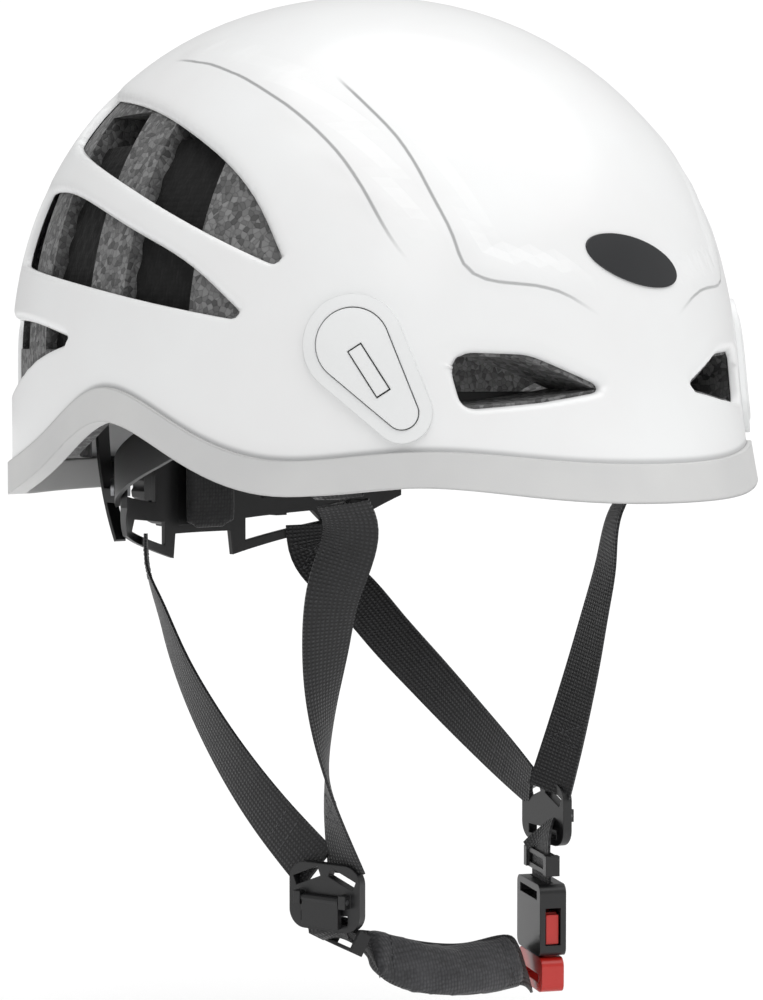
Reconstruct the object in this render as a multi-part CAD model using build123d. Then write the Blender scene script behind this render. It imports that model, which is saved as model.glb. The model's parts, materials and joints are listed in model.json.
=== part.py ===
from build123d import *
from functools import lru_cache
from math import acos, atan2, cos, degrees, pi, radians, sin, sqrt, tan
import os

# A climbing helmet. Origin: middle of the head opening, in the plane of the rim. The front faces -Y, the
# wearer's right is -X, and +Z is up. All sizes are millimetres.

# ---- shell ----
HALF_WIDTH = 114.0       # widest half-width of the shell
FRONT = 122.0            # widest plane to brow, without the flared peak
REAR = 143.0             # widest plane to nape
RISE = 126.0             # widest plane to crown
WIDE_Z = 38.0            # height of the widest plane
FULLNESS = 2.1           # exponent of the rounded form; 2 is an ellipsoid
LEAN = 0.07              # how far the crown leans back
PEAK_FLARE = 16.0        # extra reach of the peak at the rim
PEAK_TOP = 70.0          # height where the flare begins
WALL = 3.0
RIM_BAND = 11.0          # height of the soft edge trim
TRIM_BULGE = 1.6
TRIM_DEPTH = 5.0
SHELL_LAP = 7.0          # shell edge inside the trim
EAR_ARCH = 21.0          # rise of the rim over each ear
NAPE_Z = -8.0
BROW_Z = -2.0

# ---- liners and headband ----
FOAM = 20.0
FOAM_GAP = 0.3
COMFORT = 3.0
COMFORT_LOW = 48.0       # lower edge of the comfort liner
RIB_PITCH = 50.0         # foam ribs behind the side vents
RIB_GAP = 31.0
RIB_START = -29.0        # front edge of the first channel
CHANNEL_LOW = 44.0
CHANNEL_TOP = 122.0
BAND_SPACE = 4.6         # foam to headband
BAND = 1.6
BAND_LOW = 8.0
BAND_TOP = 31.0
PAD = 4.5
TEMPLE_Z = 20.0
PIN_R = 2.5
RUNNING = 0.05           # radial clearance of shafts and pins
ARM = 1.9
ARM_GAP = 0.5
CRADLE_BACK = 39.0       # shell's rearmost point to the cradle's
CRADLE_HALF = 64.0

# ---- adjuster ----
WHEEL_R = 16.0
WHEEL_THICK = 9.0
WHEEL_Z = -7.0
MODULE = 1.0
TEETH = 12
FACE = 5.0
SHAFT_R = 3.0
HOUSING_HALF = 17.0
HOUSING_RISE = 14.0
RACK_LENGTH = 45.0
RACK_BACK = 3.0
BACKLASH = 0.24
HANGER_X = 50.0
HANGER_R = 93.5
HANGER_W = 5.0
HANGER_T = 1.6

# ---- accessory ports ----
PORT_BEARING = 44.0      # from straight sideways towards the front, degrees
PORT_BIG_R = 15.5
PORT_SMALL_R = 9.2
PORT_RIM = 4.0
PORT_RAISE = 2.0
PLUG_RAISE = 2.7
PLUG_DEPTH = 6.0
LATCH_W = 4.2
LATCH_L = 16.0
CLEAR = 0.3

# ---- harness ----
WEB_W = 18.0
WEB_T = 1.4
JAW_X = 51.0             # strap dividers, sideways
JAW_Y = -30.0
JAW_Z_RIGHT = -135.0
JAW_Z_LEFT = -118.0
DIVIDER_W = 28.0
DIVIDER_H = 22.0
DIVIDER_T = 3.4
BUCKLE_W = 26.0
BUCKLE_T = 9.5
SOCKET_H = 25.0
BUCKLE_X = 46.0
BUCKLE_Y = -32.5
BUCKLE_TOP = -141.0
BUCKLE_BEARING = 63.0    # of the buckle's width, from +X towards +Y, degrees
CHIN_Z = -167.5
SLEEVE_W = 21.0
SLEEVE_T = 8.0

BAND_OUT = WALL + FOAM_GAP + FOAM + BAND_SPACE
ARM_X = HALF_WIDTH - BAND_OUT - BAND - ARM_GAP
ARM_Y = REAR - CRADLE_BACK
EDGE = 400.0             # reach of cutting blocks


# ---------------------------------------------------------------- the dome
def dome_point(p, q, gap):
    """Point of the rounded form, gap outside the shell's outer face; p and q are stereographic."""
    k = 1 + p * p + q * q
    ux, uy, uz = 2 * p / k, 2 * q / k, (2 - k) / k
    reach = (REAR if uy > 0 else FRONT) + gap
    size = (abs(ux)**FULLNESS + abs(uy)**FULLNESS + max(uz, 0)**FULLNESS)**(-1 / FULLNESS)
    lift = (RISE + gap) * uz * size
    below = min(max(0, PEAK_TOP - WIDE_Z - lift) / PEAK_TOP, 1.2)
    flare = 1 + PEAK_FLARE / FRONT * below**2 * max(-uy * size, 0)**2
    y = (reach * uy * size + LEAN * max(lift, 0)**2 / RISE) * flare
    return Vector((HALF_WIDTH + gap) * ux * size, y, WIDE_Z + lift)


@lru_cache(None)
def dome(gap, count=30, span=1.6):
    """Solid under the rounded form, with upright walls below the widest plane."""
    steps = [span * (2 * i / count - 1) for i in range(count + 1)]
    skin = Face.make_surface_from_array_of_points([[dome_point(p, q, gap) for q in steps] for p in steps], 0.05)
    return extrude(skin, amount=2 * RISE, dir=(0, 0, -1))


def layer(outer, inner):
    return dome(outer) - dome(inner)


def side_block(outline, near=0.0):
    """Outline of (y, z) points or edges, run out along both sides from x = near."""
    face = Plane.YZ.offset(near) * outline
    if near:
        half = extrude(face, amount=EDGE)
        return half + mirror(half, about=Plane.YZ)
    return extrude(face, amount=EDGE, both=True)


def polygon(*points):
    return make_face(Polyline(*points, close=True))


def both_sides(shape):
    return shape + mirror(shape, about=Plane.YZ)


def place(fy, fz):
    """(y, z) in the side view, as shares of the shell's reach and rise."""
    return fy * (REAR if fy > 0 else FRONT), WIDE_Z + fz * RISE


def above_rim(lift):
    """Everything above the rim line raised by lift."""
    line = [(-1.4, BROW_Z), (-1.1, BROW_Z), (-0.86, 2.5), (-0.52, -0.5), (-0.27, 8), (0.05, EAR_ARCH),
            (0.27, 8), (0.58, NAPE_Z + 3), (0.85, NAPE_Z), (1.2, NAPE_Z)]
    points = [(place(f, 0)[0], z + lift) for f, z in line]
    top = WIDE_Z + 2 * RISE
    return side_block(make_face([Spline(*points), Polyline(points[-1], (points[-1][0], top),
                                                           (points[0][0], top), points[0])]))


def side_vent(lower, upper):
    """Opening between two curves that share their first point and end on the same upright."""
    low = [place(*p) for p in lower]
    high = [place(*p) for p in upper]
    return side_block(make_face([Spline(*low), Line(low[-1], high[-1]), Spline(*high)]), near=30)


TIP, MID_TIP, BACK_TIP = (-0.495, 0.26), (-0.41, 0.13), (0.205, 0.07)
vents = side_vent([TIP, (-0.25, 0.358), (0.21, 0.53), (0.5, 0.62)],
                  [TIP, (-0.39, 0.405), (-0.1, 0.59), (0.12, 0.67), (0.5, 0.735)])
vents += side_vent([MID_TIP, (0.0, 0.195), (0.26, 0.24), (0.62, 0.29)],
                   [MID_TIP, (-0.25, 0.245), (0.0, 0.345), (0.39, 0.465), (0.62, 0.47)])
vents += side_vent([BACK_TIP, (0.4, 0.02), (0.58, -0.05), (0.78, -0.09)],
                   [BACK_TIP, (0.42, 0.11), (0.6, 0.12), (0.78, 0.12)])
front_outline = [(-0.55, -0.09), (-0.565, 0.0), (-0.545, 0.036), (-0.38, 0.03), (-0.18, -0.048), (-0.36, -0.073)]
front_vent = extrude(Plane.XZ * polygon(*[(fx * HALF_WIDTH, WIDE_Z + fz * RISE) for fx, fz in front_outline]),
                     amount=EDGE)
front_vents = both_sides(front_vent)


# ---------------------------------------------------------------- accessory port frame of reference
def port_plane():
    a = radians(PORT_BEARING)
    p, q, step = -cos(a), -sin(a), 1e-3
    here = dome_point(p, q, 0)
    along = dome_point(-cos(a + step), -sin(a + step), 0) - here
    outward = along.cross(Vector(0, 0, 1)).normalized()
    return Plane(origin=here, x_dir=along.normalized(), z_dir=outward if outward.X < 0 else -outward)


PORT = port_plane()


def teardrop(grow=0.0):
    big = Pos(-PORT_BIG_R / 3, PORT_BIG_R / 2) * Circle(PORT_BIG_R + grow)
    small = Pos(PORT_BIG_R * 0.65, -PORT_BIG_R * 0.83) * Circle(PORT_SMALL_R + grow)
    return make_hull(big.edges() + small.edges())


def port_block(outline, low=-30.0, high=12.0):
    return PORT * (Pos(0, 0, low) * extrude(outline, amount=high - low))


def latch_bar(grow=0.0):
    return Rot(0, 0, 33) * Rectangle(LATCH_W + 2 * grow, LATCH_L + 2 * grow)


# ---------------------------------------------------------------- shell, trim and liners
port_hole = port_block(teardrop(CLEAR - PORT_RIM), low=-WALL - FOAM / 2)
outer_shell = (layer(0, -WALL) & above_rim(RIM_BAND - SHELL_LAP)) - vents - front_vents
outer_shell -= both_sides(port_hole)
lip = layer(0, -WALL) & above_rim(RIM_BAND - SHELL_LAP)
edge_trim = (layer(TRIM_BULGE, -TRIM_DEPTH) & above_rim(0)) - above_rim(RIM_BAND) - lip

channels = [polygon((y, CHANNEL_LOW), (y + RIB_GAP, CHANNEL_LOW), (y + RIB_GAP, CHANNEL_TOP), (y, CHANNEL_TOP))
            for y in (RIB_START, RIB_START + RIB_PITCH, RIB_START + 2 * RIB_PITCH)]
foam_in = -WALL - FOAM_GAP - FOAM
foam_liner = layer(-WALL - FOAM_GAP, foam_in) & above_rim(RIM_BAND + 1)
for channel in channels:
    foam_liner -= side_block(channel, near=40)
foam_liner -= front_vents
foam_liner -= both_sides(port_hole)
relief_top = WHEEL_Z + HOUSING_RISE + 25
foam_liner -= Pos(0, ARM_Y + EDGE / 2 - 4, relief_top - EDGE / 2) * Box(2 * HOUSING_HALF + 58, EDGE, EDGE)
comfort_liner = layer(foam_in - CLEAR, foam_in - CLEAR - COMFORT)
comfort_liner &= Pos(0, 0, COMFORT_LOW + EDGE / 2) * Box(2 * EDGE, 2 * EDGE, EDGE)

EMBLEM = Rot(0, 0, -12) * Ellipse(20, 7.5)
front_emblem = extrude(Plane.XZ * (Pos(1, WIDE_Z + 0.27 * RISE) * EMBLEM), amount=EDGE) & layer(0.5, 0)

port_frame = port_block(teardrop() - teardrop(-PORT_RIM)) & layer(PORT_RAISE, 0)
plug_outline = teardrop(-PORT_RIM - CLEAR)
port_plug = port_block(plug_outline) & layer(PLUG_RAISE, -PLUG_DEPTH)
port_plug -= port_block(latch_bar(CLEAR + 0.15))
port_latch = port_block(latch_bar()) & layer(PLUG_RAISE + 0.4, PLUG_RAISE - 2.6)

# ---------------------------------------------------------------- headband
ear = (0, TEMPLE_Z)
band_side = polygon((-EDGE, BAND_LOW), (-30, BAND_LOW + 3), (9, TEMPLE_Z - 8), (9, TEMPLE_Z + 8), (-30, BAND_TOP),
                    (-EDGE, BAND_TOP))
pin_hole = side_block(Pos(*ear) * Circle(PIN_R), near=30)
loose_hole = side_block(Pos(*ear) * Circle(PIN_R + RUNNING), near=30)
brow_band = (layer(-BAND_OUT, -BAND_OUT - BAND) & side_block(band_side)) - pin_hole
pad_side = polygon((-EDGE, BAND_LOW + 1.5), (-45, BAND_LOW + 4), (-45, BAND_TOP - 1.5), (-EDGE, BAND_TOP - 1.5))
pad_out = -BAND_OUT - BAND - CLEAR
brow_pad = layer(pad_out, pad_out - PAD) & side_block(pad_side)


def temple_pin():
    head_out = HALF_WIDTH - BAND_OUT + 0.1
    head_in = ARM_X - ARM - 0.5
    shank = Pos((head_out + head_in) / 2, *ear) * Rot(0, 90, 0) * Cylinder(PIN_R, head_out - head_in)
    outer = Pos(head_out + 0.5, *ear) * Rot(0, 90, 0) * Cylinder(PIN_R + 2, 1)
    inner = Pos(head_in - 0.5, *ear) * Rot(0, 90, 0) * Cylinder(PIN_R + 2, 1)
    return shank + outer + inner


temple_pins = both_sides(temple_pin())


def oval_wall(outset, thick):
    """Upright wall on the headband's ellipse, its outer face outset from the arm's outer face."""
    outer = Ellipse(ARM_X + outset, ARM_Y + outset)
    inner = Ellipse(ARM_X + outset - thick, ARM_Y + outset - thick)
    return Pos(0, 0, -EDGE / 2) * extrude(outer - inner, amount=EDGE)


lap_x = CRADLE_HALF - 5
lap_y = ARM_Y * sqrt(1 - (lap_x / ARM_X)**2)
arm_z = WHEEL_Z + 4
arm_side = polygon((-1, TEMPLE_Z + 8), (20, TEMPLE_Z + 1), (lap_y + 5, arm_z + 6), (lap_y + 5, arm_z - 9),
                   (20, TEMPLE_Z - 15), (-1, TEMPLE_Z - 8))
arm_side += Pos(*ear) * Circle(8)
arm_walls = (oval_wall(0, ARM) & side_block(arm_side, near=lap_x - 4)) - loose_hole

rivet_axis = Vector(lap_x / ARM_X**2, lap_y / ARM_Y**2, 0).normalized()
rivet_at = Vector(lap_x, lap_y, arm_z - 1.5)


def rivet_shape(radius, low, high):
    """Round bar along the rivet's axis, between two depths measured from the arm's outer face."""
    spot = Plane(origin=rivet_at + rivet_axis * low, z_dir=rivet_axis)
    return both_sides(spot * extrude(Circle(radius), amount=high - low))


CRADLE = 2.0
rivet_hole = rivet_shape(1.6, -8, 4)
side_arms = arm_walls - rivet_hole
rivet_in = -ARM - 0.1 - CRADLE - 0.15
arm_rivets = rivet_shape(1.6, rivet_in, 0.15) + rivet_shape(3, 0.15, 1.35) + rivet_shape(3, rivet_in - 1.2, rivet_in)

half_outline = [(0, 18), (HOUSING_HALF - 1, 18), (HOUSING_HALF + 7, 11), (CRADLE_HALF, 10), (CRADLE_HALF, -4),
                (52, -15), (14, -26), (13, -17), (0, -17)]
window_low = [(19, -12.5), (42, -10), (45, -14), (19, -21)]
window_top = [(25, 7), (50, 6), (52, -1), (25, -5)]


def back_block(points):
    points = [(x, z + WHEEL_Z) for x, z in points]
    return both_sides(mirror(extrude(Plane.XZ * polygon(*points), amount=-EDGE), about=Plane.YZ))


cradle_y = ARM_Y - ARM - 0.1
nape_cradle = oval_wall(-ARM - 0.1, CRADLE) & back_block(half_outline)
nape_cradle -= back_block(window_low) + back_block(window_top)
boss = Pos(0, cradle_y - 1.5, WHEEL_Z) * Box(2 * HOUSING_HALF, 3, 2 * HOUSING_RISE)
nape_cradle += boss
nape_cradle -= rivet_hole

# ---------------------------------------------------------------- adjuster: cover, housing, pinion, racks, wheel
COVER = 1.7
cover_y = cradle_y
case_y = cover_y + COVER
pinion_y = case_y + 1.0
case_end = pinion_y + FACE + 2.6
pitch_r = MODULE * TEETH / 2
TIP_H, ROOT_H = 0.8 * MODULE, 1.1 * MODULE


def on_y(shape, y):
    """Shape drawn on XZ around the wheel's axis, with its base at y and its height towards +Y."""
    return Pos(0, y, WHEEL_Z) * Rot(-90, 0, 0) * shape


def pinion_outline():
    pressure = radians(20)
    base = pitch_r * cos(pressure)
    half_pitch = (pi * MODULE / 2 - BACKLASH) / 2 / pitch_r
    involute = tan(pressure) - pressure
    points = []
    for tooth in range(TEETH):
        middle = 2 * pi * (tooth + 0.5) / TEETH
        flank = []
        for step in range(5):
            r = pitch_r - ROOT_H + (TIP_H + ROOT_H) * step / 4
            roll = acos(min(1, base / r))
            flank.append((r, half_pitch + involute - (tan(roll) - roll)))
        for side in (-1, 1):
            for r, half in (flank if side < 0 else reversed(flank)):
                angle = middle + side * half
                points.append((r * sin(angle), r * cos(angle)))
    return polygon(*points)


def rack():
    """Upper rack: teeth down, inner end on the wearer's left of the pinion."""
    inner, pitch_z = 6.0, pitch_r
    pitch = pi * MODULE
    half, slope = (pi * MODULE / 2 - BACKLASH) / 2, tan(radians(20))
    root, tip = pitch_z + ROOT_H, pitch_z - TIP_H
    points = [(inner, root + RACK_BACK), (inner, root)]
    count = int(22 / pitch)
    for i in range(count + 1):
        centre = -i * pitch
        if centre + half + ROOT_H < inner:
            points += [(centre + half + ROOT_H * slope, root), (centre + half - TIP_H * slope, tip),
                       (centre - half + TIP_H * slope, tip), (centre - half - ROOT_H * slope, root)]
    points += [(inner - RACK_LENGTH, root), (inner - RACK_LENGTH, root + RACK_BACK)]
    face = polygon(*[(x, -z) for x, z in points])
    return on_y(extrude(face, amount=FACE - 0.6), pinion_y + 0.3)


def half_turn(shape):
    """The same shape half a turn round the wheel's axis."""
    return Pos(0, 0, WHEEL_Z) * Rot(0, 180, 0) * Pos(0, 0, -WHEEL_Z) * shape


rack_right = rack()
rack_left = half_turn(rack_right)
slot_mid = pitch_r + (ROOT_H + RACK_BACK - TIP_H) / 2
slot_h = ROOT_H + RACK_BACK + TIP_H + 2 * 0.2
rack_slot = on_y(Pos(0, -slot_mid, (FACE - 0.6) / 2) * Box(2 * EDGE, slot_h, FACE - 0.6 + 0.5), pinion_y + 0.3)
block = Box(2 * HOUSING_HALF, case_end - case_y, 2 * HOUSING_RISE)
block = fillet(block.edges().filter_by(Axis.Y), 5)
adjuster_housing = Pos(0, (case_y + case_end) / 2, WHEEL_Z) * block
pocket_r = pitch_r + TIP_H + 0.5
adjuster_housing -= on_y(extrude(Circle(pocket_r), amount=FACE + 1.4), case_y - 0.01)
adjuster_housing -= rack_slot
adjuster_housing -= half_turn(rack_slot)
adjuster_housing -= on_y(extrude(Circle(SHAFT_R + RUNNING), amount=30), case_y)
screw_spots = [(x, z) for x in (-11, 11) for z in (-11.9, 11.9)]
screw_holes = [on_y(Pos(x, z) * extrude(Circle(0.9), amount=COVER + 4), cover_y) for x, z in screw_spots]
plate = fillet(Box(2 * HOUSING_HALF, COVER, 2 * HOUSING_RISE).edges().filter_by(Axis.Y), 5)
adjuster_cover = Pos(0, cover_y + COVER / 2, WHEEL_Z) * plate
adjuster_cover -= on_y(extrude(Circle(SHAFT_R - 1 + RUNNING), amount=COVER + 0.2), cover_y - 0.1)
for hole in screw_holes:
    adjuster_housing -= hole
    adjuster_cover -= hole
cover_screws = Part() + [on_y(Pos(x, z) * extrude(Circle(0.9), amount=COVER + 3.5), cover_y) for x, z in screw_spots]

wheel_y = case_end + 0.4
pinion = on_y(extrude(pinion_outline(), amount=FACE), pinion_y)
pinion += on_y(extrude(Circle(SHAFT_R - 1), amount=pinion_y - cover_y - 0.5), cover_y + 0.5)
pinion += on_y(extrude(Circle(SHAFT_R), amount=wheel_y + WHEEL_THICK - 4 - pinion_y), pinion_y)
pinion -= on_y(extrude(Circle(1.2), amount=12), wheel_y + WHEEL_THICK - 12)
grip = Circle(WHEEL_R)
for i in range(16):
    grip -= Rot(0, 0, 360 / 16 * i) * Pos(WHEEL_R + 1.6, 0) * Circle(2.6)
knob = extrude(grip, amount=WHEEL_THICK)
knob -= Pos(0, 0, -0.01) * extrude(Circle(WHEEL_R - 3) - Circle(SHAFT_R + 2.4), amount=4)
knob -= Pos(0, 0, WHEEL_THICK - 2.5) * extrude(Circle(WHEEL_R - 5), amount=3)
adjuster_wheel = on_y(knob, wheel_y) - on_y(extrude(Circle(SHAFT_R), amount=30), wheel_y - 5)
cap_y = wheel_y + WHEEL_THICK - 4
wheel_screw = on_y(extrude(Circle(5), amount=2.6), wheel_y + WHEEL_THICK - 2.5)
wheel_screw += on_y(extrude(Circle(SHAFT_R), amount=1.6), cap_y)
wheel_screw += on_y(extrude(Circle(1.2), amount=7.5), cap_y - 6)
spring = Circle(WHEEL_R - 3.6) - Circle(WHEEL_R - 4.4)
spring &= Pos(0, WHEEL_R) * Rectangle(17, 16)
detent_spring = on_y(extrude(spring, amount=2.6), case_end)
pad_block = [(x, z + WHEEL_Z) for x, z in [(-17, 14), (17, 14), (17, -16), (-17, -16)]]
nape_pad = oval_wall(-ARM - 2.1 - CLEAR - 2.8, PAD) & extrude(Plane.XZ * polygon(*pad_block), amount=-EDGE)
for side in (-1, 1):
    x = side * 34
    z = WHEEL_Z - side * slot_mid
    guide = Pos(x, (cradle_y + pinion_y + FACE) / 2 - 3, z) * Box(5, pinion_y + FACE - cradle_y + 10, slot_h + 3.2)
    nape_cradle += guide - Pos(0, 0, -EDGE / 2) * extrude(Ellipse(ARM_X - ARM - 1, ARM_Y - ARM - 1), amount=EDGE)
nape_cradle -= rack_slot & side_block(Rectangle(EDGE * 2, EDGE * 2), near=25)
nape_cradle -= half_turn(rack_slot) & side_block(Rectangle(EDGE * 2, EDGE * 2), near=25)


# ---------------------------------------------------------------- hangers, arcs about the temple axis
def arc_strip(radius, thick, width, low, high):
    """Strip of a ring about the temple pins' axis, between two angles from +Y towards +Z."""
    ring = Circle(radius + thick / 2) - Circle(radius - thick / 2)
    wedge = make_face(Polyline((0, 0), *[(3 * radius * cos(radians(a)), 3 * radius * sin(radians(a)))
                                         for a in (low, (low + high) / 2, high)], close=True))
    outline = Plane.YZ * (Pos(*ear) * (ring & wedge))
    return Pos(HANGER_X, 0, 0) * extrude(outline, amount=width / 2, both=True)


inside_cradle = Pos(0, 0, -EDGE / 2) * extrude(Ellipse(ARM_X - ARM - 0.1, ARM_Y - ARM - 0.1), amount=EDGE)
foot_z = WHEEL_Z - 1
foot_y = sqrt(HANGER_R**2 - (TEMPLE_Z - foot_z)**2)
hanger = arc_strip(HANGER_R, HANGER_T, HANGER_W, -28, 15)
hanger += Pos(HANGER_X, foot_y - 6, foot_z) * Box(HANGER_W, 12, 5)
hanger -= inside_cradle
hanger_clip = Pos(HANGER_X, HANGER_R + 1, TEMPLE_Z + 15) * Box(HANGER_W + 6, 14, 7)
hanger_clip += Pos(HANGER_X, HANGER_R + 8, TEMPLE_Z + 15) * Box(HANGER_W + 6, 14, 7)
hanger_clip &= dome(foam_in - 0.05)
hanger_clip -= arc_strip(HANGER_R, HANGER_T + 2 * CLEAR, HANGER_W + 2 * CLEAR, -40, 60)


# ---------------------------------------------------------------- harness
def ribbon(stations, width=WEB_W, thick=WEB_T):
    """Flat webbing through (point, direction of its width) stations."""
    points = [Vector(*p) if not isinstance(p, Vector) else p for p, _ in stations]
    sections = []
    for i, (_, across) in enumerate(stations):
        run = (points[min(i + 1, len(points) - 1)] - points[max(i - 1, 0)]).normalized()
        level = (Vector(*across) - run * Vector(*across).dot(run)).normalized()
        sections.append(Plane(origin=points[i], x_dir=level, z_dir=run) * Rectangle(width, thick))
    return loft(sections, ruled=True)


def bearing(angle):
    return cos(radians(angle)), sin(radians(angle)), 0


def bowed(start, end, bow, first, last, count=6):
    """Stations of a strap that bows between its ends while its width turns from one bearing to another."""
    start, end, bow = Vector(*start), Vector(*end), Vector(*bow)
    shares = [i / count for i in range(count + 1)]
    return [(start + (end - start) * t + bow * (4 * t * (1 - t)), bearing(first + (last - first) * t))
            for t in shares]


def jaw_plane(side):
    """Divider's own plane: x across the webbing, y up, z outwards from the face. side is -1 on the right."""
    z = JAW_Z_RIGHT if side < 0 else JAW_Z_LEFT
    outward = Vector(side * cos(radians(14)), -sin(radians(14)), 0)
    return Plane(origin=(side * JAW_X, JAW_Y, z), x_dir=Vector(0, 0, 1).cross(outward), z_dir=outward)


def divider_plate():
    plate = fillet(Rectangle(DIVIDER_W, DIVIDER_H).vertices(), 6)
    slot_w = WEB_W + 2 * CLEAR
    plate -= Pos(0, -DIVIDER_H / 2 + 4) * Rectangle(slot_w, 3.2)
    for side in (-1, 1):
        plate -= Pos(side * DIVIDER_W / 4, DIVIDER_H / 2 - 4.5) * Rot(0, 0, -side * 22) * Rectangle(10.5, 3.2)
    body = extrude(plate, amount=DIVIDER_T / 2, both=True)
    for side in (-1, 1):
        body += Pos(side * 9, -0.5, DIVIDER_T / 2 + 1.5) * Box(2.6, 4.4, 3.2)
    return body - Pos(0, -0.5, DIVIDER_T / 2 + 1.6) * Rot(0, 90, 0) * Cylinder(0.9, DIVIDER_W)


def divider_flap():
    thick = 2.2
    flap = Pos(0, -5.6, DIVIDER_T / 2 + 1.6) * Box(14.4, 8, thick)
    flap += Pos(0, -0.5, DIVIDER_T / 2 + 1.6) * Rot(0, 90, 0) * Cylinder(1.35, 14.4)
    flap += Pos(0, -1.6, DIVIDER_T / 2 + 1.6) * Box(14.4, 2.2, thick)
    return flap - Pos(0, -0.5, DIVIDER_T / 2 + 1.6) * Rot(0, 90, 0) * Cylinder(0.9 + RUNNING, DIVIDER_W)


def divider_pin():
    return Pos(0, -0.5, DIVIDER_T / 2 + 1.6) * Rot(0, 90, 0) * Cylinder(0.9, 20.6)


def jaw_point(side, across, up, out):
    return jaw_plane(side).from_local_coords(Vector(across, up, out))


def wall_x(gap, y, z):
    """Half-width of the upright wall at y, gap outside the shell's outer face."""
    below = (PEAK_TOP - z) / PEAK_TOP
    reach = (FRONT + gap) * (1 + PEAK_FLARE / FRONT * below**2 * (y / FRONT)**2)
    return (HALF_WIDTH + gap) * (1 - abs(y / reach)**FULLNESS)**(1 / FULLNESS)


strap_y = -0.46 * FRONT
ANCHOR = 1.0
foam_x = wall_x(foam_in, strap_y, TEMPLE_Z)
wall_slope = wall_x(foam_in, strap_y + 1, TEMPLE_Z) - foam_x
wall_turn = degrees(atan2(1, wall_slope))
anchor_x = foam_x - (0.7 + ANCHOR + WEB_T / 2) / sin(radians(wall_turn))
back_of_plate = -DIVIDER_T / 2 - WEB_T / 2 - 0.25


def front_strap(side):
    tangent = (-side * wall_slope, -1, 0)
    start = (side * 61, strap_y + 3, BAND_LOW - 20)
    end = jaw_point(side, -side * 6, DIVIDER_H / 2 - 3, back_of_plate)
    bow = (-4, 8, 0) if side < 0 else (1, -1, 0)
    run = bowed(start, end, bow, 124 if side < 0 else 56, 270 if side < 0 else 100)
    top = [((side * anchor_x, strap_y, TEMPLE_Z + 6), tangent), ((side * anchor_x, strap_y, BAND_LOW - 1), tangent)]
    return ribbon(top + run, width=WEB_W)


def rear_strap(side):
    start = (side * 39, 0.79 * ARM_Y, WHEEL_Z - 23.5)
    end = jaw_point(side, side * 6, DIVIDER_H / 2 - 3, back_of_plate)
    return ribbon(bowed(start, end, (side * 6, 5, -3), 52 if side < 0 else 128, 104 if side < 0 else 76))


def anchor(side):
    outward = (0.2 + WEB_T / 2 + ANCHOR / 2) / sin(radians(wall_turn))
    turn_z = side * (wall_turn - 90)
    return Pos(side * (anchor_x + outward), strap_y, TEMPLE_Z + 3) * Rot(0, 0, turn_z) * Box(ANCHOR, 15, 9)


turn = radians(BUCKLE_BEARING)
BUCKLE = Plane(origin=(BUCKLE_X, BUCKLE_Y, BUCKLE_TOP), x_dir=(cos(turn), sin(turn), 0),
               z_dir=(sin(turn), -cos(turn), 0))


def buckle_box(width, low, high, thick, across=0.0, out=0.0):
    """Block in the buckle's plane: low and high are measured down from the socket's top edge."""
    return Pos(across, -(low + high) / 2, out) * Box(width, high - low, thick)


BAR = 4.0
MOUTH = 4.0
BASE_TOP = SOCKET_H + 0.6
BASE_H = 12.0
PRONG_X = 8.2
PRONG_W = 3.2
socket = fillet(buckle_box(BUCKLE_W, 0, SOCKET_H, BUCKLE_T).edges().filter_by(Axis.Z), 3)
socket -= buckle_box(WEB_W + 1, BAR - 1.5, BAR + 1.5, 2 * BUCKLE_T)
socket -= buckle_box(WEB_W + 1, -1, BAR, WEB_T + 1.2)
socket -= buckle_box(BUCKLE_W - 4.4, BAR + 3.5, SOCKET_H + 1, BUCKLE_T - 4)
socket -= buckle_box(2 * BUCKLE_W, BAR + 4, SOCKET_H - MOUTH, BUCKLE_T - 4)
plug = fillet(buckle_box(BUCKLE_W, BASE_TOP, BASE_TOP + BASE_H, BUCKLE_T - 1.5).edges().filter_by(Axis.Z), 3)
plug -= buckle_box(WEB_W + 1, BASE_TOP + 6, BASE_TOP + 9, 2 * BUCKLE_T)
plug += buckle_box(4.4, BAR + 5, BASE_TOP + 0.5, BUCKLE_T - 4.8)


def prong(side):
    arm = buckle_box(PRONG_W, BAR + 6, BASE_TOP - 0.3, BUCKLE_T - 5, across=side * PRONG_X)
    barb = buckle_box(2.6, BAR + 6.5, SOCKET_H - MOUTH - 0.3, BUCKLE_T - 5, across=side * (PRONG_X + 2.6))
    return BUCKLE * (arm + barb)


slider_body = buckle_box(24, -10, -3, 3.6) - buckle_box(WEB_W + 0.8, -8.2, -4.8, 10)
slider_body += buckle_box(3, -10, -3, 5, across=11) + buckle_box(3, -10, -3, 5, across=-11)
slider_body -= buckle_box(WEB_W + 1.2, -11, -2, WEB_T + 1.2)
web_top = jaw_point(1, 0, -DIVIDER_H / 2 + 5, back_of_plate)
web_low = BUCKLE.from_local_coords(Vector(0, -BAR, 0))
across_buckle = (cos(turn), sin(turn), 0)
above_slider = BUCKLE.from_local_coords(Vector(0, 12.5, 0))
across_jaw = tuple(jaw_plane(1).x_dir)
cheek_strap = ribbon([(web_top, across_jaw), (above_slider, across_buckle), (web_low, across_buckle)])

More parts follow.
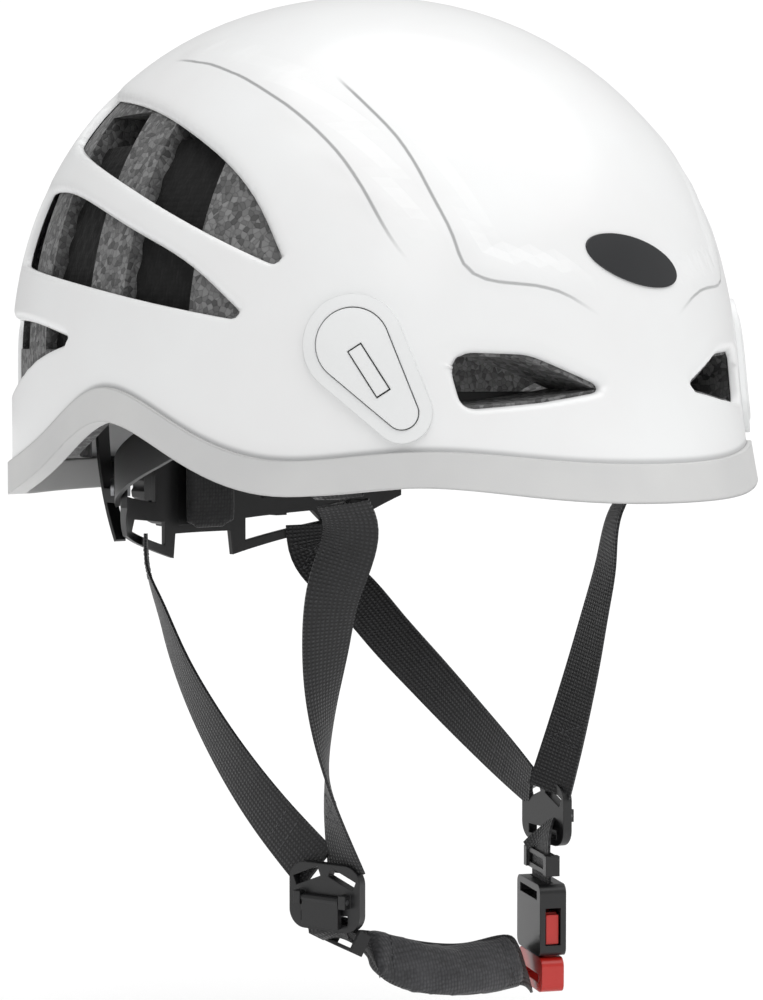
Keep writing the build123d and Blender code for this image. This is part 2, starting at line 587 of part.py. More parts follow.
chin_out = BUCKLE.from_local_coords(Vector(0, -BASE_TOP - 6.2, -BUCKLE_T / 2 - 1.2))
chin_in = jaw_point(-1, 0, -DIVIDER_H / 2 + 5, back_of_plate)
upright = (0.0, 0.45, 0.9)
sag = [(-44, JAW_Y - 2, CHIN_Z + 18), (-36, JAW_Y - 4, CHIN_Z + 13.5), (-22, JAW_Y - 6, CHIN_Z + 7),
       (-4, JAW_Y - 6, CHIN_Z + 2.5), (14, JAW_Y - 5, CHIN_Z + 0.5), (32, JAW_Y - 4, CHIN_Z)]
lean = [(0.1, 1, 0.1), (0.2, 0.75, 0.6), upright, upright, upright, upright]
sleeve_run = list(zip(sag, lean))[1:]
chin_web = [(chin_in, tuple(jaw_plane(-1).x_dir * -1)), (jaw_point(-1, 0, -DIVIDER_H / 2 - 1, back_of_plate),
                                                        tuple(jaw_plane(-1).x_dir * -1))]
chin_strap = ribbon(chin_web + list(zip(sag, lean)) + [(chin_out, upright)])
chin_pad = ribbon(sleeve_run, SLEEVE_W, SLEEVE_T) - ribbon(sleeve_run, WEB_W + 0.8, WEB_T + 0.8)
keeper_run = (Vector(*sag[1]) - chin_web[1][0]).normalized()
keeper_across = Vector(*lean[0]) - keeper_run * keeper_run.dot(Vector(*lean[0]))
keeper_at = Plane(origin=sag[0], x_dir=keeper_across, z_dir=keeper_run)
keeper = Rectangle(WEB_W + 6, WEB_T + 6) - Rectangle(WEB_W + 3, WEB_T + 3.6)
strap_keeper = keeper_at * extrude(keeper, amount=2.2, both=True)

# ---------------------------------------------------------------- the nodes
NODES = {
    "outer_shell": outer_shell, "edge_trim": edge_trim, "foam_liner": foam_liner, "comfort_liner": comfort_liner,
    "front_emblem": front_emblem, "brow_band": brow_band, "brow_pad": brow_pad, "temple_pins": temple_pins,
    "arm_rivets": arm_rivets, "nape_cradle": nape_cradle, "nape_pad": nape_pad,
    "adjuster_housing": adjuster_housing, "adjuster_cover": adjuster_cover, "cover_screws": cover_screws,
    "adjuster_wheel": adjuster_wheel, "adjuster_pinion": pinion, "wheel_screw": wheel_screw,
    "detent_spring": detent_spring, "rack_right": rack_right, "rack_left": rack_left,
    "strap_anchors": anchor(-1) + anchor(1), "cheek_strap": cheek_strap, "strap_slider": BUCKLE * slider_body,
    "buckle_socket": BUCKLE * socket, "buckle_plug": BUCKLE * plug, "prong_front": prong(-1), "prong_rear": prong(1),
    "chin_strap": chin_strap, "chin_pad": chin_pad, "strap_keeper": strap_keeper,
    "lock_pins": jaw_plane(-1) * divider_pin() + jaw_plane(1) * divider_pin(),
}
mirrored = {"port_frame": port_frame, "port_plug": port_plug, "port_latch": port_latch,
            "hanger": mirror(hanger, about=Plane.YZ), "hanger_clip": mirror(hanger_clip, about=Plane.YZ)}
for name, shape in mirrored.items():
    NODES[name + "_right"] = shape
    NODES[name + "_left"] = mirror(shape, about=Plane.YZ)
for word, side in (("right", -1), ("left", 1)):
    half = Pos(side * EDGE / 2, 0, 0) * Box(EDGE, 2 * EDGE, 2 * EDGE)
    NODES["side_arm_" + word] = side_arms & half
    NODES["front_strap_" + word] = front_strap(side)
    NODES["rear_strap_" + word] = rear_strap(side)
    NODES["divider_" + word] = jaw_plane(side) * divider_plate()
    NODES["divider_lock_" + word] = jaw_plane(side) * divider_flap()

os.makedirs("parts", exist_ok=True)
for name, shape in NODES.items():
    export_step(shape, f"parts/{name}.step")
print(len(NODES), "nodes")
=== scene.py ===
"""The looks of a climbing helmet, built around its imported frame.

Sizes are millimetres until a mesh is placed, and MM turns them to Blender's metres. The front faces -Y, the
wearer's right is -X and +Z is up. Each sub-assembly is a class, and main() builds them in order.
"""

from __future__ import annotations

import json
import logging
import math
from dataclasses import dataclass, field
from enum import Enum
from typing import Callable, Sequence

import bmesh
import bpy
import numpy as np
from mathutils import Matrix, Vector

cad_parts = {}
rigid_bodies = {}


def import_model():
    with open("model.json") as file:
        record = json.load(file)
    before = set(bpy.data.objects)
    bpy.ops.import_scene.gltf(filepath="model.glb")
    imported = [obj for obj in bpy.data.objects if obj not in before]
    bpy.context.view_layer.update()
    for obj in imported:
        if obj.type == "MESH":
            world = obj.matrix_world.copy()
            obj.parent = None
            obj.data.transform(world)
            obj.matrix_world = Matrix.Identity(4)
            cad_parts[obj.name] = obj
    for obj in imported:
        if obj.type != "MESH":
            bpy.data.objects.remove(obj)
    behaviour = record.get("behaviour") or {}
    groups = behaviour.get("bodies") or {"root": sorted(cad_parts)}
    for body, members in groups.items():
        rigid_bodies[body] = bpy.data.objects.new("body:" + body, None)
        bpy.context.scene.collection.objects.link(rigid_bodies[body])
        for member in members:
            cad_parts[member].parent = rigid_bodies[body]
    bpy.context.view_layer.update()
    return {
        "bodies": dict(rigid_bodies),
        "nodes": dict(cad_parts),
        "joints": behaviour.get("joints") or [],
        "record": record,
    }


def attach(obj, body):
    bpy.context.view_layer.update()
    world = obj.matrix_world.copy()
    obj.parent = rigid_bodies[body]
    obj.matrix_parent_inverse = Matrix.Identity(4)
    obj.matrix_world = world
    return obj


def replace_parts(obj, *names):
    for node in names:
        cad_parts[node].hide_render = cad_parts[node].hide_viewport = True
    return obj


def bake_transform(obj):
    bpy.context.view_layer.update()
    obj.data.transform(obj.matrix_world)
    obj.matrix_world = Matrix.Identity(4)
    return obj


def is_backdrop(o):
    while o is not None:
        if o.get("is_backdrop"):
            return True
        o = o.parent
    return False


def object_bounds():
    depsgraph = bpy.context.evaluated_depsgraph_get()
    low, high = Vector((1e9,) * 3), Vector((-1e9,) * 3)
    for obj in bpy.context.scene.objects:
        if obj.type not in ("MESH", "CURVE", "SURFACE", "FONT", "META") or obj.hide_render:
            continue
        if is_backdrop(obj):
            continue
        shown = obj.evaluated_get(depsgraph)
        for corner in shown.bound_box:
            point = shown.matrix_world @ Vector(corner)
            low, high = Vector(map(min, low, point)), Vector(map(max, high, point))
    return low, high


MM = 0.001
CREASES = ("outer_crease", "inner_crease")
SWELL_PRESSURE = 4.0
SWELL_FRAMES = 20
LOG = logging.getLogger("helmet")
Station = tuple[Sequence[float], Sequence[float]]


# ---------------------------------------------------------------- curves and distances
def spline(points: Sequence[Sequence[float]], count: int = 24) -> np.ndarray:
    """Natural cubic curve through points, by chord length.

    Args:
        points: at least two points of any dimension.
        count: number of points on the curve.

    Returns:
        The curve, one point a row.
    """
    pts = np.array(points, float)
    knots = np.concatenate([[0], np.cumsum(np.linalg.norm(np.diff(pts, axis=0), axis=1))])
    gaps = np.diff(knots)
    matrix, right = np.eye(len(pts)), np.zeros_like(pts)
    for i in range(1, len(pts) - 1):
        matrix[i, i - 1:i + 2] = gaps[i - 1], 2 * (gaps[i - 1] + gaps[i]), gaps[i]
        right[i] = 6 * ((pts[i + 1] - pts[i]) / gaps[i] - (pts[i] - pts[i - 1]) / gaps[i - 1])
    bend = np.linalg.solve(matrix, right)
    at = np.linspace(0, knots[-1], count)
    seg = np.clip(np.searchsorted(knots, at, side="right") - 1, 0, len(pts) - 2)
    step = gaps[seg][:, None]
    a = (knots[seg + 1] - at)[:, None] / step
    b = 1 - a
    curve = a * pts[seg] + b * pts[seg + 1]
    return curve + ((a**3 - a) * bend[seg] + (b**3 - b) * bend[seg + 1]) * step**2 / 6


def rounded(outline: np.ndarray, radius: float, sharp: float = 35.0) -> np.ndarray:
    """Closed outline with its sharp corners turned into arcs.

    Args:
        outline: closed outline, one (x, y) a row.
        radius: how far from the corner each arc starts.
        sharp: turn in degrees above which a point counts as a corner.

    Returns:
        The new outline.
    """
    keep: list[np.ndarray] = []
    count = len(outline)
    for i, corner in enumerate(outline):
        before, after = corner - outline[i - 1], outline[(i + 1) % count] - corner
        turn = abs(math.degrees(math.atan2(before[0] * after[1] - before[1] * after[0], before @ after)))
        if turn < sharp:
            if min(np.linalg.norm(corner - c) for c in _corners(outline, sharp)) > radius:
                keep.append(corner)
            continue
        start = _walk(outline, i, -1, radius)
        end = _walk(outline, i, 1, radius)
        for t in np.linspace(0, 1, 7):
            keep.append((1 - t)**2 * start + 2 * t * (1 - t) * corner + t * t * end)
    return np.array(keep)


def _corners(outline: np.ndarray, sharp: float) -> list[np.ndarray]:
    """Points of a closed outline where it turns by more than sharp degrees.

    Args:
        outline: closed outline, one (x, y) a row.
        sharp: least turn, in degrees.

    Returns:
        The corners, or one far-off point when there are none.
    """
    before = outline - np.roll(outline, 1, axis=0)
    after = np.roll(outline, -1, axis=0) - outline
    turn = np.degrees(np.abs(np.arctan2(before[:, 0] * after[:, 1] - before[:, 1] * after[:, 0],
                                        (before * after).sum(1))))
    found = [p for p, angle in zip(outline, turn) if angle >= sharp]
    return found or [np.array([1e9, 1e9])]


def _walk(outline: np.ndarray, start: int, step: int, length: float) -> np.ndarray:
    """Point that lies length along a closed outline from one of its corners.

    Args:
        outline: closed outline, one (x, y) a row.
        start: index of the corner.
        step: 1 to walk forwards, -1 backwards.
        length: how far to walk.

    Returns:
        The point.
    """
    here, left, i = outline[start], length, start
    for _ in range(len(outline)):
        i = (i + step) % len(outline)
        gap = np.linalg.norm(outline[i] - here)
        if gap >= left:
            return here + (outline[i] - here) * left / gap
        left, here = left - gap, outline[i]
    return here


def signed_distance(points: np.ndarray, outline: np.ndarray) -> np.ndarray:
    """Distance of each point to a closed outline, negative inside it.

    Args:
        points: one (x, y) a row.
        outline: closed outline, one (x, y) a row.

    Returns:
        One distance a point.
    """
    best, inside = np.full(len(points), 1e9), np.zeros(len(points), bool)
    x, y = points.T
    for (ax, ay), (bx, by) in zip(outline, np.roll(outline, -1, axis=0)):
        dx, dy = bx - ax, by - ay
        t = np.clip(((x - ax) * dx + (y - ay) * dy) / max(dx * dx + dy * dy, 1e-12), 0, 1)
        best = np.minimum(best, np.hypot(x - ax - t * dx, y - ay - t * dy))
        if ay != by:
            inside ^= ((ay > y) != (by > y)) & (x < ax + (y - ay) * dx / dy)
    return np.where(inside, -best, best)


def ease(low: float, high: float, value: np.ndarray) -> np.ndarray:
    """0 below low and 1 above high, smooth between."""
    t = np.clip((value - low) / (high - low), 0, 1)
    return t * t * (3 - 2 * t)


# ---------------------------------------------------------------- the rounded form
@dataclass(frozen=True)
class Dome:
    """The helmet's rounded form, the same one that the frame's shell and liners follow."""

    half_width: float = 114.0
    front: float = 122.0
    rear: float = 143.0
    rise: float = 126.0
    wide_z: float = 38.0
    fullness: float = 2.1
    lean: float = 0.07
    peak_flare: float = 16.0
    peak_top: float = 70.0

    def points(self, pq: np.ndarray, gap: np.ndarray | float) -> np.ndarray:
        """Points of the form.

        Args:
            pq: stereographic places, one (p, q) a row.
            gap: distance outside the shell's outer face.

        Returns:
            Points in millimetres, one (x, y, z) a row.
        """
        p, q = pq.T
        k = 1 + p * p + q * q
        ux, uy, uz = 2 * p / k, 2 * q / k, (2 - k) / k
        n = self.fullness
        size = (abs(ux)**n + abs(uy)**n + np.maximum(uz, 0)**n)**(-1 / n)
        lift = (self.rise + gap) * uz * size
        below = np.clip((self.peak_top - self.wide_z - lift) / self.peak_top, 0, 1.2)
        flare = 1 + self.peak_flare / self.front * below**2 * np.maximum(-uy * size, 0)**2
        reach = np.where(uy > 0, self.rear, self.front) + gap
        y = (reach * uy * size + self.lean * np.maximum(lift, 0)**2 / self.rise) * flare
        return np.stack([(self.half_width + gap) * ux * size, y, self.wide_z + lift], 1)

    def place(self, fy: float, fz: float) -> tuple[float, float]:
        """(y, z) in the side view from shares of the reach and the rise."""
        return fy * (self.rear if fy > 0 else self.front), self.wide_z + fz * self.rise

    def wall_x(self, gap: float, y: float, z: float) -> float:
        """Half-width of the upright wall at (y, z), gap outside the shell's outer face.

        Args:
            gap: distance outside the shell's outer face.
            y: place from front to back.
            z: height, below the top of the wall.

        Returns:
            The half-width in millimetres.
        """
        below = (self.peak_top - z) / self.peak_top
        reach = (self.front + gap) * (1 + self.peak_flare / self.front * below**2 * (y / self.front)**2)
        return (self.half_width + gap) * (1 - abs(y / reach)**self.fullness)**(1 / self.fullness)

    def side_x(self, gap: float, y: np.ndarray, z: np.ndarray) -> np.ndarray:
        """Half-width of the form above its widest plane, gap outside the shell's outer face.

        Args:
            gap: distance outside the shell's outer face.
            y: places from front to back.
            z: heights.

        Returns:
            One half-width a place, in millimetres.
        """
        lift = np.maximum(z - self.wide_z, 0)
        reach = np.where(y > 0, self.rear, self.front) + gap
        along = abs(y - self.lean * lift**2 / self.rise) / reach
        rest = 1 - along**self.fullness - (lift / (self.rise + gap))**self.fullness
        return (self.half_width + gap) * np.maximum(rest, 1e-3)**(1 / self.fullness)


DOME = Dome()


# ---------------------------------------------------------------- finishes
def linear(colour: str) -> tuple[float, float, float, float]:
    """Linear RGBA of an sRGB colour written as rrggbb.

    Args:
        colour: six hex digits.

    Returns:
        Red, green, blue and an alpha of 1.
    """
    parts = [int(colour[i:i + 2], 16) / 255 for i in (0, 2, 4)]
    r, g, b = [c / 12.92 if c <= 0.04045 else ((c + 0.055) / 1.055)**2.4 for c in parts]
    return r, g, b, 1.0


def add(tree: bpy.types.NodeTree, kind: str, values: dict | None = None, links: dict | None = None,
        **settings: object) -> bpy.types.Node:
    """Adds a node.

    Args:
        tree: the material's node tree.
        kind: node type.
        values: numbers or colours for its input sockets.
        links: output sockets to join to its input sockets.
        **settings: properties of the node itself.

    Returns:
        The new node.
    """
    node = tree.nodes.new(kind)
    for key, value in settings.items():
        setattr(node, key, value)
    for key, value in (values or {}).items():
        node.inputs[key].default_value = value
    for key, source in (links or {}).items():
        tree.links.new(source, node.inputs[key])
    return node


@dataclass(frozen=True)
class Finish:
    """A surface finish. Each kind fills the node tree in its own way."""

    name: str
    slot: str
    colour: str

    def material(self) -> bpy.types.Material:
        """The finish's material, made once."""
        found = bpy.data.materials.get(self.name)
        if found:
            return found
        made = bpy.data.materials.new(self.name)
        made.use_nodes = True
        tree = made.node_tree
        shader = tree.nodes["Principled BSDF"]
        self.fill(tree, shader)
        return made

    def fill(self, tree: bpy.types.NodeTree, shader: bpy.types.Node) -> None:
        """Sets the shader up.

        Args:
            tree: the material's node tree; not used here.
            shader: its Principled node.
        """
        shader.inputs["Base Color"].default_value = linear(self.colour)

    def dress(self, obj: bpy.types.Object) -> bpy.types.Object:
        """Gives obj this finish.

        Args:
            obj: a mesh object.

        Returns:
            The same object.
        """
        obj.data.materials.clear()
        obj.data.materials.append(self.material())
        return obj


@dataclass(frozen=True)
class Moulded(Finish):
    """Injection-moulded plastic: an even colour, a fine tool texture, and edges that catch a line of light."""

    roughness: float = 0.4
    grain: float = 0.5        # pitch of the tool texture
    relief: float = 0.03      # its height
    coat: float = 0.0
    edge: float = 0.4         # rounding of sharp edges
    ior: float = 1.52
    shade: str = ""           # darker tone of the slow colour drift
    creases: bool = False     # reads the crease attributes of the shell

    def fill(self, tree: bpy.types.NodeTree, shader: bpy.types.Node) -> None:
        """Sets the shader up.

        Args:
            tree: the material's node tree.
            shader: its Principled node.
        """
        place = add(tree, "ShaderNodeTexCoord").outputs["Object"]
        drift = add(tree, "ShaderNodeTexNoise", {"Scale": 1 / (40 * MM), "Detail": 3.0}, {"Vector": place})
        ramp = add(tree, "ShaderNodeValToRGB", links={"Fac": drift.outputs["Fac"]})
        ramp.color_ramp.elements[0].position, ramp.color_ramp.elements[1].position = 0.3, 0.7
        ramp.color_ramp.elements[0].color = linear(self.shade or self.colour)
        ramp.color_ramp.elements[1].color = linear(self.colour)
        colour = ramp.outputs["Color"]
        rub = add(tree, "ShaderNodeMapRange",
                  {"To Min": self.roughness - 0.05, "To Max": self.roughness + 0.06},
                  {"Value": drift.outputs["Fac"]})
        fine = add(tree, "ShaderNodeTexNoise", {"Scale": 1 / (self.grain * MM), "Detail": 2.0},
                   {"Vector": place})
        soft = add(tree, "ShaderNodeBevel", {"Radius": self.edge * MM}, samples=6)
        bump = add(tree, "ShaderNodeBump", {"Strength": 1.0, "Distance": self.relief * MM},
                   {"Height": fine.outputs["Fac"], "Normal": soft.outputs["Normal"]})
        normal = bump.outputs["Normal"]
        if self.creases:
            colour, normal = self._creased(tree, colour, normal)
        tree.links.new(colour, shader.inputs["Base Color"])
        tree.links.new(rub.outputs["Result"], shader.inputs["Roughness"])
        tree.links.new(normal, shader.inputs["Normal"])
        shader.inputs["IOR"].default_value = self.ior
        shader.inputs["Coat Weight"].default_value = self.coat
        shader.inputs["Coat Roughness"].default_value = 0.12

    def _creased(self, tree: bpy.types.NodeTree, colour: bpy.types.NodeSocket,
                 normal: bpy.types.NodeSocket) -> tuple[bpy.types.NodeSocket, bpy.types.NodeSocket]:
        """Adds the panel edges: a crisp step with a thin painted shadow along its foot, and a band of painted
        shade on the shell just above the trim.

        Args:
            tree: the material's node tree.
            colour: colour so far.
            normal: normal so far.

        Returns:
            The new colour and normal.
        """
        for run in CREASES:
            across = add(tree, "ShaderNodeAttribute", attribute_name=f"{run}_mm").outputs["Fac"]
            fade = add(tree, "ShaderNodeAttribute", attribute_name=f"{run}_fade").outputs["Fac"]
            step = add(tree, "ShaderNodeMapRange", {"From Min": -0.6, "From Max": 0.6}, {"Value": across},
                       interpolation_type="SMOOTHSTEP")
            rise = add(tree, "ShaderNodeMath", links={0: step.outputs["Result"], 1: fade},
                       operation="MULTIPLY")
            bump = add(tree, "ShaderNodeBump", {"Strength": 1.0, "Distance": 0.8 * MM},
                       {"Height": rise.outputs["Value"], "Normal": normal})
            # painted shadow: a thin grey line mixed into the colour along each panel edge, where the step
            # would shade the shell
            gap = add(tree, "ShaderNodeMath", links={0: across}, operation="ABSOLUTE")
            line = add(tree, "ShaderNodeMapRange",
                       {"From Min": 0.2, "From Max": 0.8, "To Min": 0.4, "To Max": 0.0},
                       {"Value": gap.outputs["Value"]}, interpolation_type="SMOOTHSTEP")
            painted_crease_shade = add(tree, "ShaderNodeMath", links={0: line.outputs["Result"], 1: fade},
                       operation="MULTIPLY")
            mixed = add(tree, "ShaderNodeMix", links={0: painted_crease_shade.outputs["Value"], 6: colour}, data_type="RGBA")
            mixed.inputs[7].default_value = linear("8c8e8e")
            colour, normal = mixed.outputs[2], bump.outputs["Normal"]
        # painted shade: a grey band mixed into the colour just above the trim's upper edge, where the trim
        # would shade the shell
        above = add(tree, "ShaderNodeAttribute", attribute_name="rim_mm").outputs["Fac"]
        painted_rim_shade = add(tree, "ShaderNodeMapRange",
                   {"From Min": 0.3, "From Max": 2.2, "To Min": 0.5, "To Max": 0.0},
                   {"Value": above}, interpolation_type="SMOOTHSTEP")
        mixed = add(tree, "ShaderNodeMix", links={0: painted_rim_shade.outputs["Result"], 6: colour}, data_type="RGBA")
        mixed.inputs[7].default_value = linear("77797a")
        return mixed.outputs[2], normal


@dataclass(frozen=True)
class BeadFoam(Finish):
    """Moulded EPS: fused beads, each its own grey, with dark seams between them."""

    bead: float = 1.9
    light: str = "858585"

    def fill(self, tree: bpy.types.NodeTree, shader: bpy.types.Node) -> None:
        """Sets the shader up.

        Args:
            tree: the material's node tree.
            shader: its Principled node.
        """
        place = add(tree, "ShaderNodeTexCoord").outputs["Object"]
        cells = add(tree, "ShaderNodeTexVoronoi", {"Scale": 1 / (self.bead * MM)}, {"Vector": place})
        seams = add(tree, "ShaderNodeTexVoronoi", {"Scale": 1 / (self.bead * MM)}, {"Vector": place},
                    feature="DISTANCE_TO_EDGE")
        grey = add(tree, "ShaderNodeSeparateColor", links={"Color": cells.outputs["Color"]})
        tone = add(tree, "ShaderNodeValToRGB", links={"Fac": grey.outputs["Red"]})
        tone.color_ramp.elements[0].color = linear(self.colour)
        tone.color_ramp.elements[1].color = linear(self.light)
        edge = add(tree, "ShaderNodeMapRange", {"From Max": 0.14, "To Min": 0.72},
                   {"Value": seams.outputs["Distance"]})
        shadow = add(tree, "ShaderNodeMix", links={6: tone.outputs["Color"], 7: edge.outputs["Result"]},
                     data_type="RGBA", blend_type="MULTIPLY")
        shadow.inputs[0].default_value = 1.0
        bump = add(tree, "ShaderNodeBump", {"Strength": 1.0, "Distance": 0.35 * MM},
                   {"Height": edge.outputs["Result"]})
        tree.links.new(shadow.outputs[2], shader.inputs["Base Color"])
        tree.links.new(bump.outputs["Normal"], shader.inputs["Normal"])
        shader.inputs["Roughness"].default_value = 0.8
        shader.inputs["IOR"].default_value = 1.45


@dataclass(frozen=True)
class Webbing(Finish):
    """Woven polyester webbing: raised warp cords in rows, crossed by the weft, with a slight sheen."""

    cord: float = 1.6         # drawn coarser than the real 0.8 mm so that the weave shows
    light: str = "2f2f31"

    def fill(self, tree: bpy.types.NodeTree, shader: bpy.types.Node) -> None:
        """Sets the shader up.

        Args:
            tree: the material's node tree.
            shader: its Principled node.
        """
        place = add(tree, "ShaderNodeUVMap", uv_map="webbing").outputs["UV"]
        turn = math.pi / 10 / (self.cord * MM)
        warp = add(tree, "ShaderNodeTexWave", {"Scale": turn, "Distortion": 0.3, "Detail": 1.0},
                   {"Vector": place}, bands_direction="X")
        weft = add(tree, "ShaderNodeTexWave", {"Scale": turn * 1.25, "Distortion": 0.5, "Detail": 1.0},
                   {"Vector": place}, bands_direction="Y")
        weave = add(tree, "ShaderNodeMath", links={0: warp.outputs["Fac"], 1: weft.outputs["Fac"]},
                    operation="MULTIPLY")
        fuzz = add(tree, "ShaderNodeTexNoise", {"Scale": 1 / (6 * MM), "Detail": 4.0}, {"Vector": place})
        blend = add(tree, "ShaderNodeMath", links={0: weave.outputs["Value"], 1: fuzz.outputs["Fac"]},
                    operation="MULTIPLY")
        tone = add(tree, "ShaderNodeValToRGB", links={"Fac": blend.outputs["Value"]})
        tone.color_ramp.elements[1].position = 0.45
        tone.color_ramp.elements[0].color = linear(self.colour)
        tone.color_ramp.elements[1].color = linear(self.light)
        bump = add(tree, "ShaderNodeBump", {"Strength": 0.9, "Distance": 0.3 * MM},
                   {"Height": weave.outputs["Value"]})
        tree.links.new(tone.outputs["Color"], shader.inputs["Base Color"])
        tree.links.new(bump.outputs["Normal"], shader.inputs["Normal"])
        shader.inputs["Roughness"].default_value = 0.62
        shader.inputs["Sheen Weight"].default_value = 0.25
        shader.inputs["Sheen Roughness"].default_value = 0.4


@dataclass(frozen=True)
class Knit(Finish):
    """Brushed polyester knit: small round loops under a soft nap that lightens at grazing angles."""

    loop: float = 1.4
    light: str = "4a4a4b"
    sheen: float = 0.3

    def fill(self, tree: bpy.types.NodeTree, shader: bpy.types.Node) -> None:
        """Sets the shader up.

        Args:
            tree: the material's node tree.
            shader: its Principled node.
        """
        place = add(tree, "ShaderNodeTexCoord").outputs["Object"]
        loops = add(tree, "ShaderNodeTexVoronoi", {"Scale": 1 / (self.loop * MM), "Randomness": 0.35},
                    {"Vector": place})
        nap = add(tree, "ShaderNodeTexNoise", {"Scale": 1 / (9 * MM), "Detail": 6.0}, {"Vector": place})
        blend = add(tree, "ShaderNodeMath", links={0: loops.outputs["Distance"], 1: nap.outputs["Fac"]},
                    operation="MULTIPLY")
        tone = add(tree, "ShaderNodeValToRGB", links={"Fac": blend.outputs["Value"]})
        tone.color_ramp.elements[1].position = 0.5
        tone.color_ramp.elements[0].color = linear(self.light)
        tone.color_ramp.elements[1].color = linear(self.colour)
        bump = add(tree, "ShaderNodeBump", {"Strength": 0.8, "Distance": 0.35 * MM},
                   {"Height": loops.outputs["Distance"]}, invert=True)
        tree.links.new(tone.outputs["Color"], shader.inputs["Base Color"])
        tree.links.new(bump.outputs["Normal"], shader.inputs["Normal"])
        shader.inputs["Roughness"].default_value = 0.9
        shader.inputs["Sheen Weight"].default_value = self.sheen
        shader.inputs["Sheen Roughness"].default_value = 0.5


@dataclass(frozen=True)
class Steel(Finish):
    """Zinc-plated steel: grey metal with fine turned lines."""

    def fill(self, tree: bpy.types.NodeTree, shader: bpy.types.Node) -> None:
        """Sets the shader up.

        Args:
            tree: the material's node tree.
            shader: its Principled node.
        """
        place = add(tree, "ShaderNodeTexCoord").outputs["Object"]
        lines = add(tree, "ShaderNodeTexNoise", {"Scale": 1 / (0.6 * MM), "Detail": 3.0}, {"Vector": place})
        rub = add(tree, "ShaderNodeMapRange", {"To Min": 0.28, "To Max": 0.45},
                  {"Value": lines.outputs["Fac"]})
        bump = add(tree, "ShaderNodeBump", {"Strength": 0.4, "Distance": 0.02 * MM},
                   {"Height": lines.outputs["Fac"]})
        tree.links.new(rub.outputs["Result"], shader.inputs["Roughness"])
        tree.links.new(bump.outputs["Normal"], shader.inputs["Normal"])
        shader.inputs["Base Color"].default_value = linear(self.colour)
        shader.inputs["Metallic"].default_value = 1.0


SHELL = Moulded("gloss_abs_white", "shell_abs", "eff0f0", roughness=0.34, grain=1.6, relief=0.008, coat=0.25,
                edge=0.6, shade="ececec", creases=True)
TRIM = Moulded("soft_tpe_grey", "trim_tpe", "cfcfce", roughness=0.55, grain=0.5, relief=0.02, edge=1.2,
               shade="c6c6c6")
PORT = Moulded("satin_abs_white", "port_abs", "eceded", roughness=0.4, grain=0.6, relief=0.015, edge=0.7,
               shade="e6e7e7")
FOAM = BeadFoam("bead_foam_grey", "foam_grey", "4c4c4c")
BAND = Moulded("polyamide_black", "band_nylon", "161617", roughness=0.45, edge=0.4, shade="111112")
FITTING = Moulded("acetal_black", "fittings_nylon", "1a1a1b", roughness=0.36, edge=0.5, shade="131314")
RED = Moulded("acetal_red", "plug_red", "c8261c", roughness=0.32, grain=0.4, relief=0.015, coat=0.2, edge=0.6,
              shade="b81e16")
INK = Moulded("pad_print_black", "emblem_ink", "1f2022", roughness=0.3, grain=0.3, relief=0.01, edge=0.3,
              shade="27282a")
WEB = Webbing("polyester_webbing_black", "webbing", "101011")
LINING = Knit("polyester_knit_black", "liner_fabric", "121213", light="2c2c2d")
# near-black and without sheen: partly the net's own colour and partly painted shade for the dark inside of the
# air channels
SHADE_NET = Knit("spacer_net_painted_shade", "liner_fabric", "050505", loop=1.8, light="0e0e0e", sheen=0.0)
SLEEVE = Knit("brushed_sleeve_black", "sleeve_fabric", "1c1c1e", light="404043")
THREAD = Moulded("bonded_thread_grey", "webbing", "4c4c4e", roughness=0.5, grain=0.25, relief=0.05, edge=0.1,
                 shade="3c3c3e")
ELASTIC = Moulded("moulded_keeper_black", "elastic", "1d1d1e", roughness=0.6, edge=0.5, shade="171718")
METAL = Steel("zinc_steel", "steel", "9b9c9e")


# ---------------------------------------------------------------- mesh helpers
def finished(name: str, bm: bmesh.types.BMesh, sharp: float = 40.0) -> bpy.types.Object:
    """Turns a bmesh into an object at the origin.

    Args:
        name: the object's name.
        bm: the shape, in metres. It is freed.
        sharp: edges that turn by more than this many degrees stay crisp.

    Returns:
        The linked object.
    """
    for face in bm.faces:
        face.smooth = True
    for edge in bm.edges:
        edge.smooth = not edge.is_manifold or edge.calc_face_angle(0.0) < math.radians(sharp)
    mesh = bpy.data.meshes.new(name)
    bm.to_mesh(mesh)
    bm.free()
    obj = bpy.data.objects.new(name, mesh)
    bpy.context.scene.collection.objects.link(obj)
    return obj


def places(bm: bmesh.types.BMesh) -> np.ndarray:
    """Vertex places of a bmesh, one a row."""
    return np.array([v.co for v in bm.verts], float).reshape(-1, 3)


# ---------------------------------------------------------------- shell
class View(Enum):
    """How an opening's outline is drawn."""

    SIDE = "side"
    FRONT = "front"
    PORT = "port"


@dataclass(frozen=True)
class Opening:
    """A hole through the shell, with the rolled lip round it."""

    view: View
    outline: np.ndarray
    lip: float = 1.2          # width of the lip at the lower edge
    hood: float = 2.6         # how much wider it is at the upper edge
    grow: float = 0.0         # how far the opening is cut outside its outline


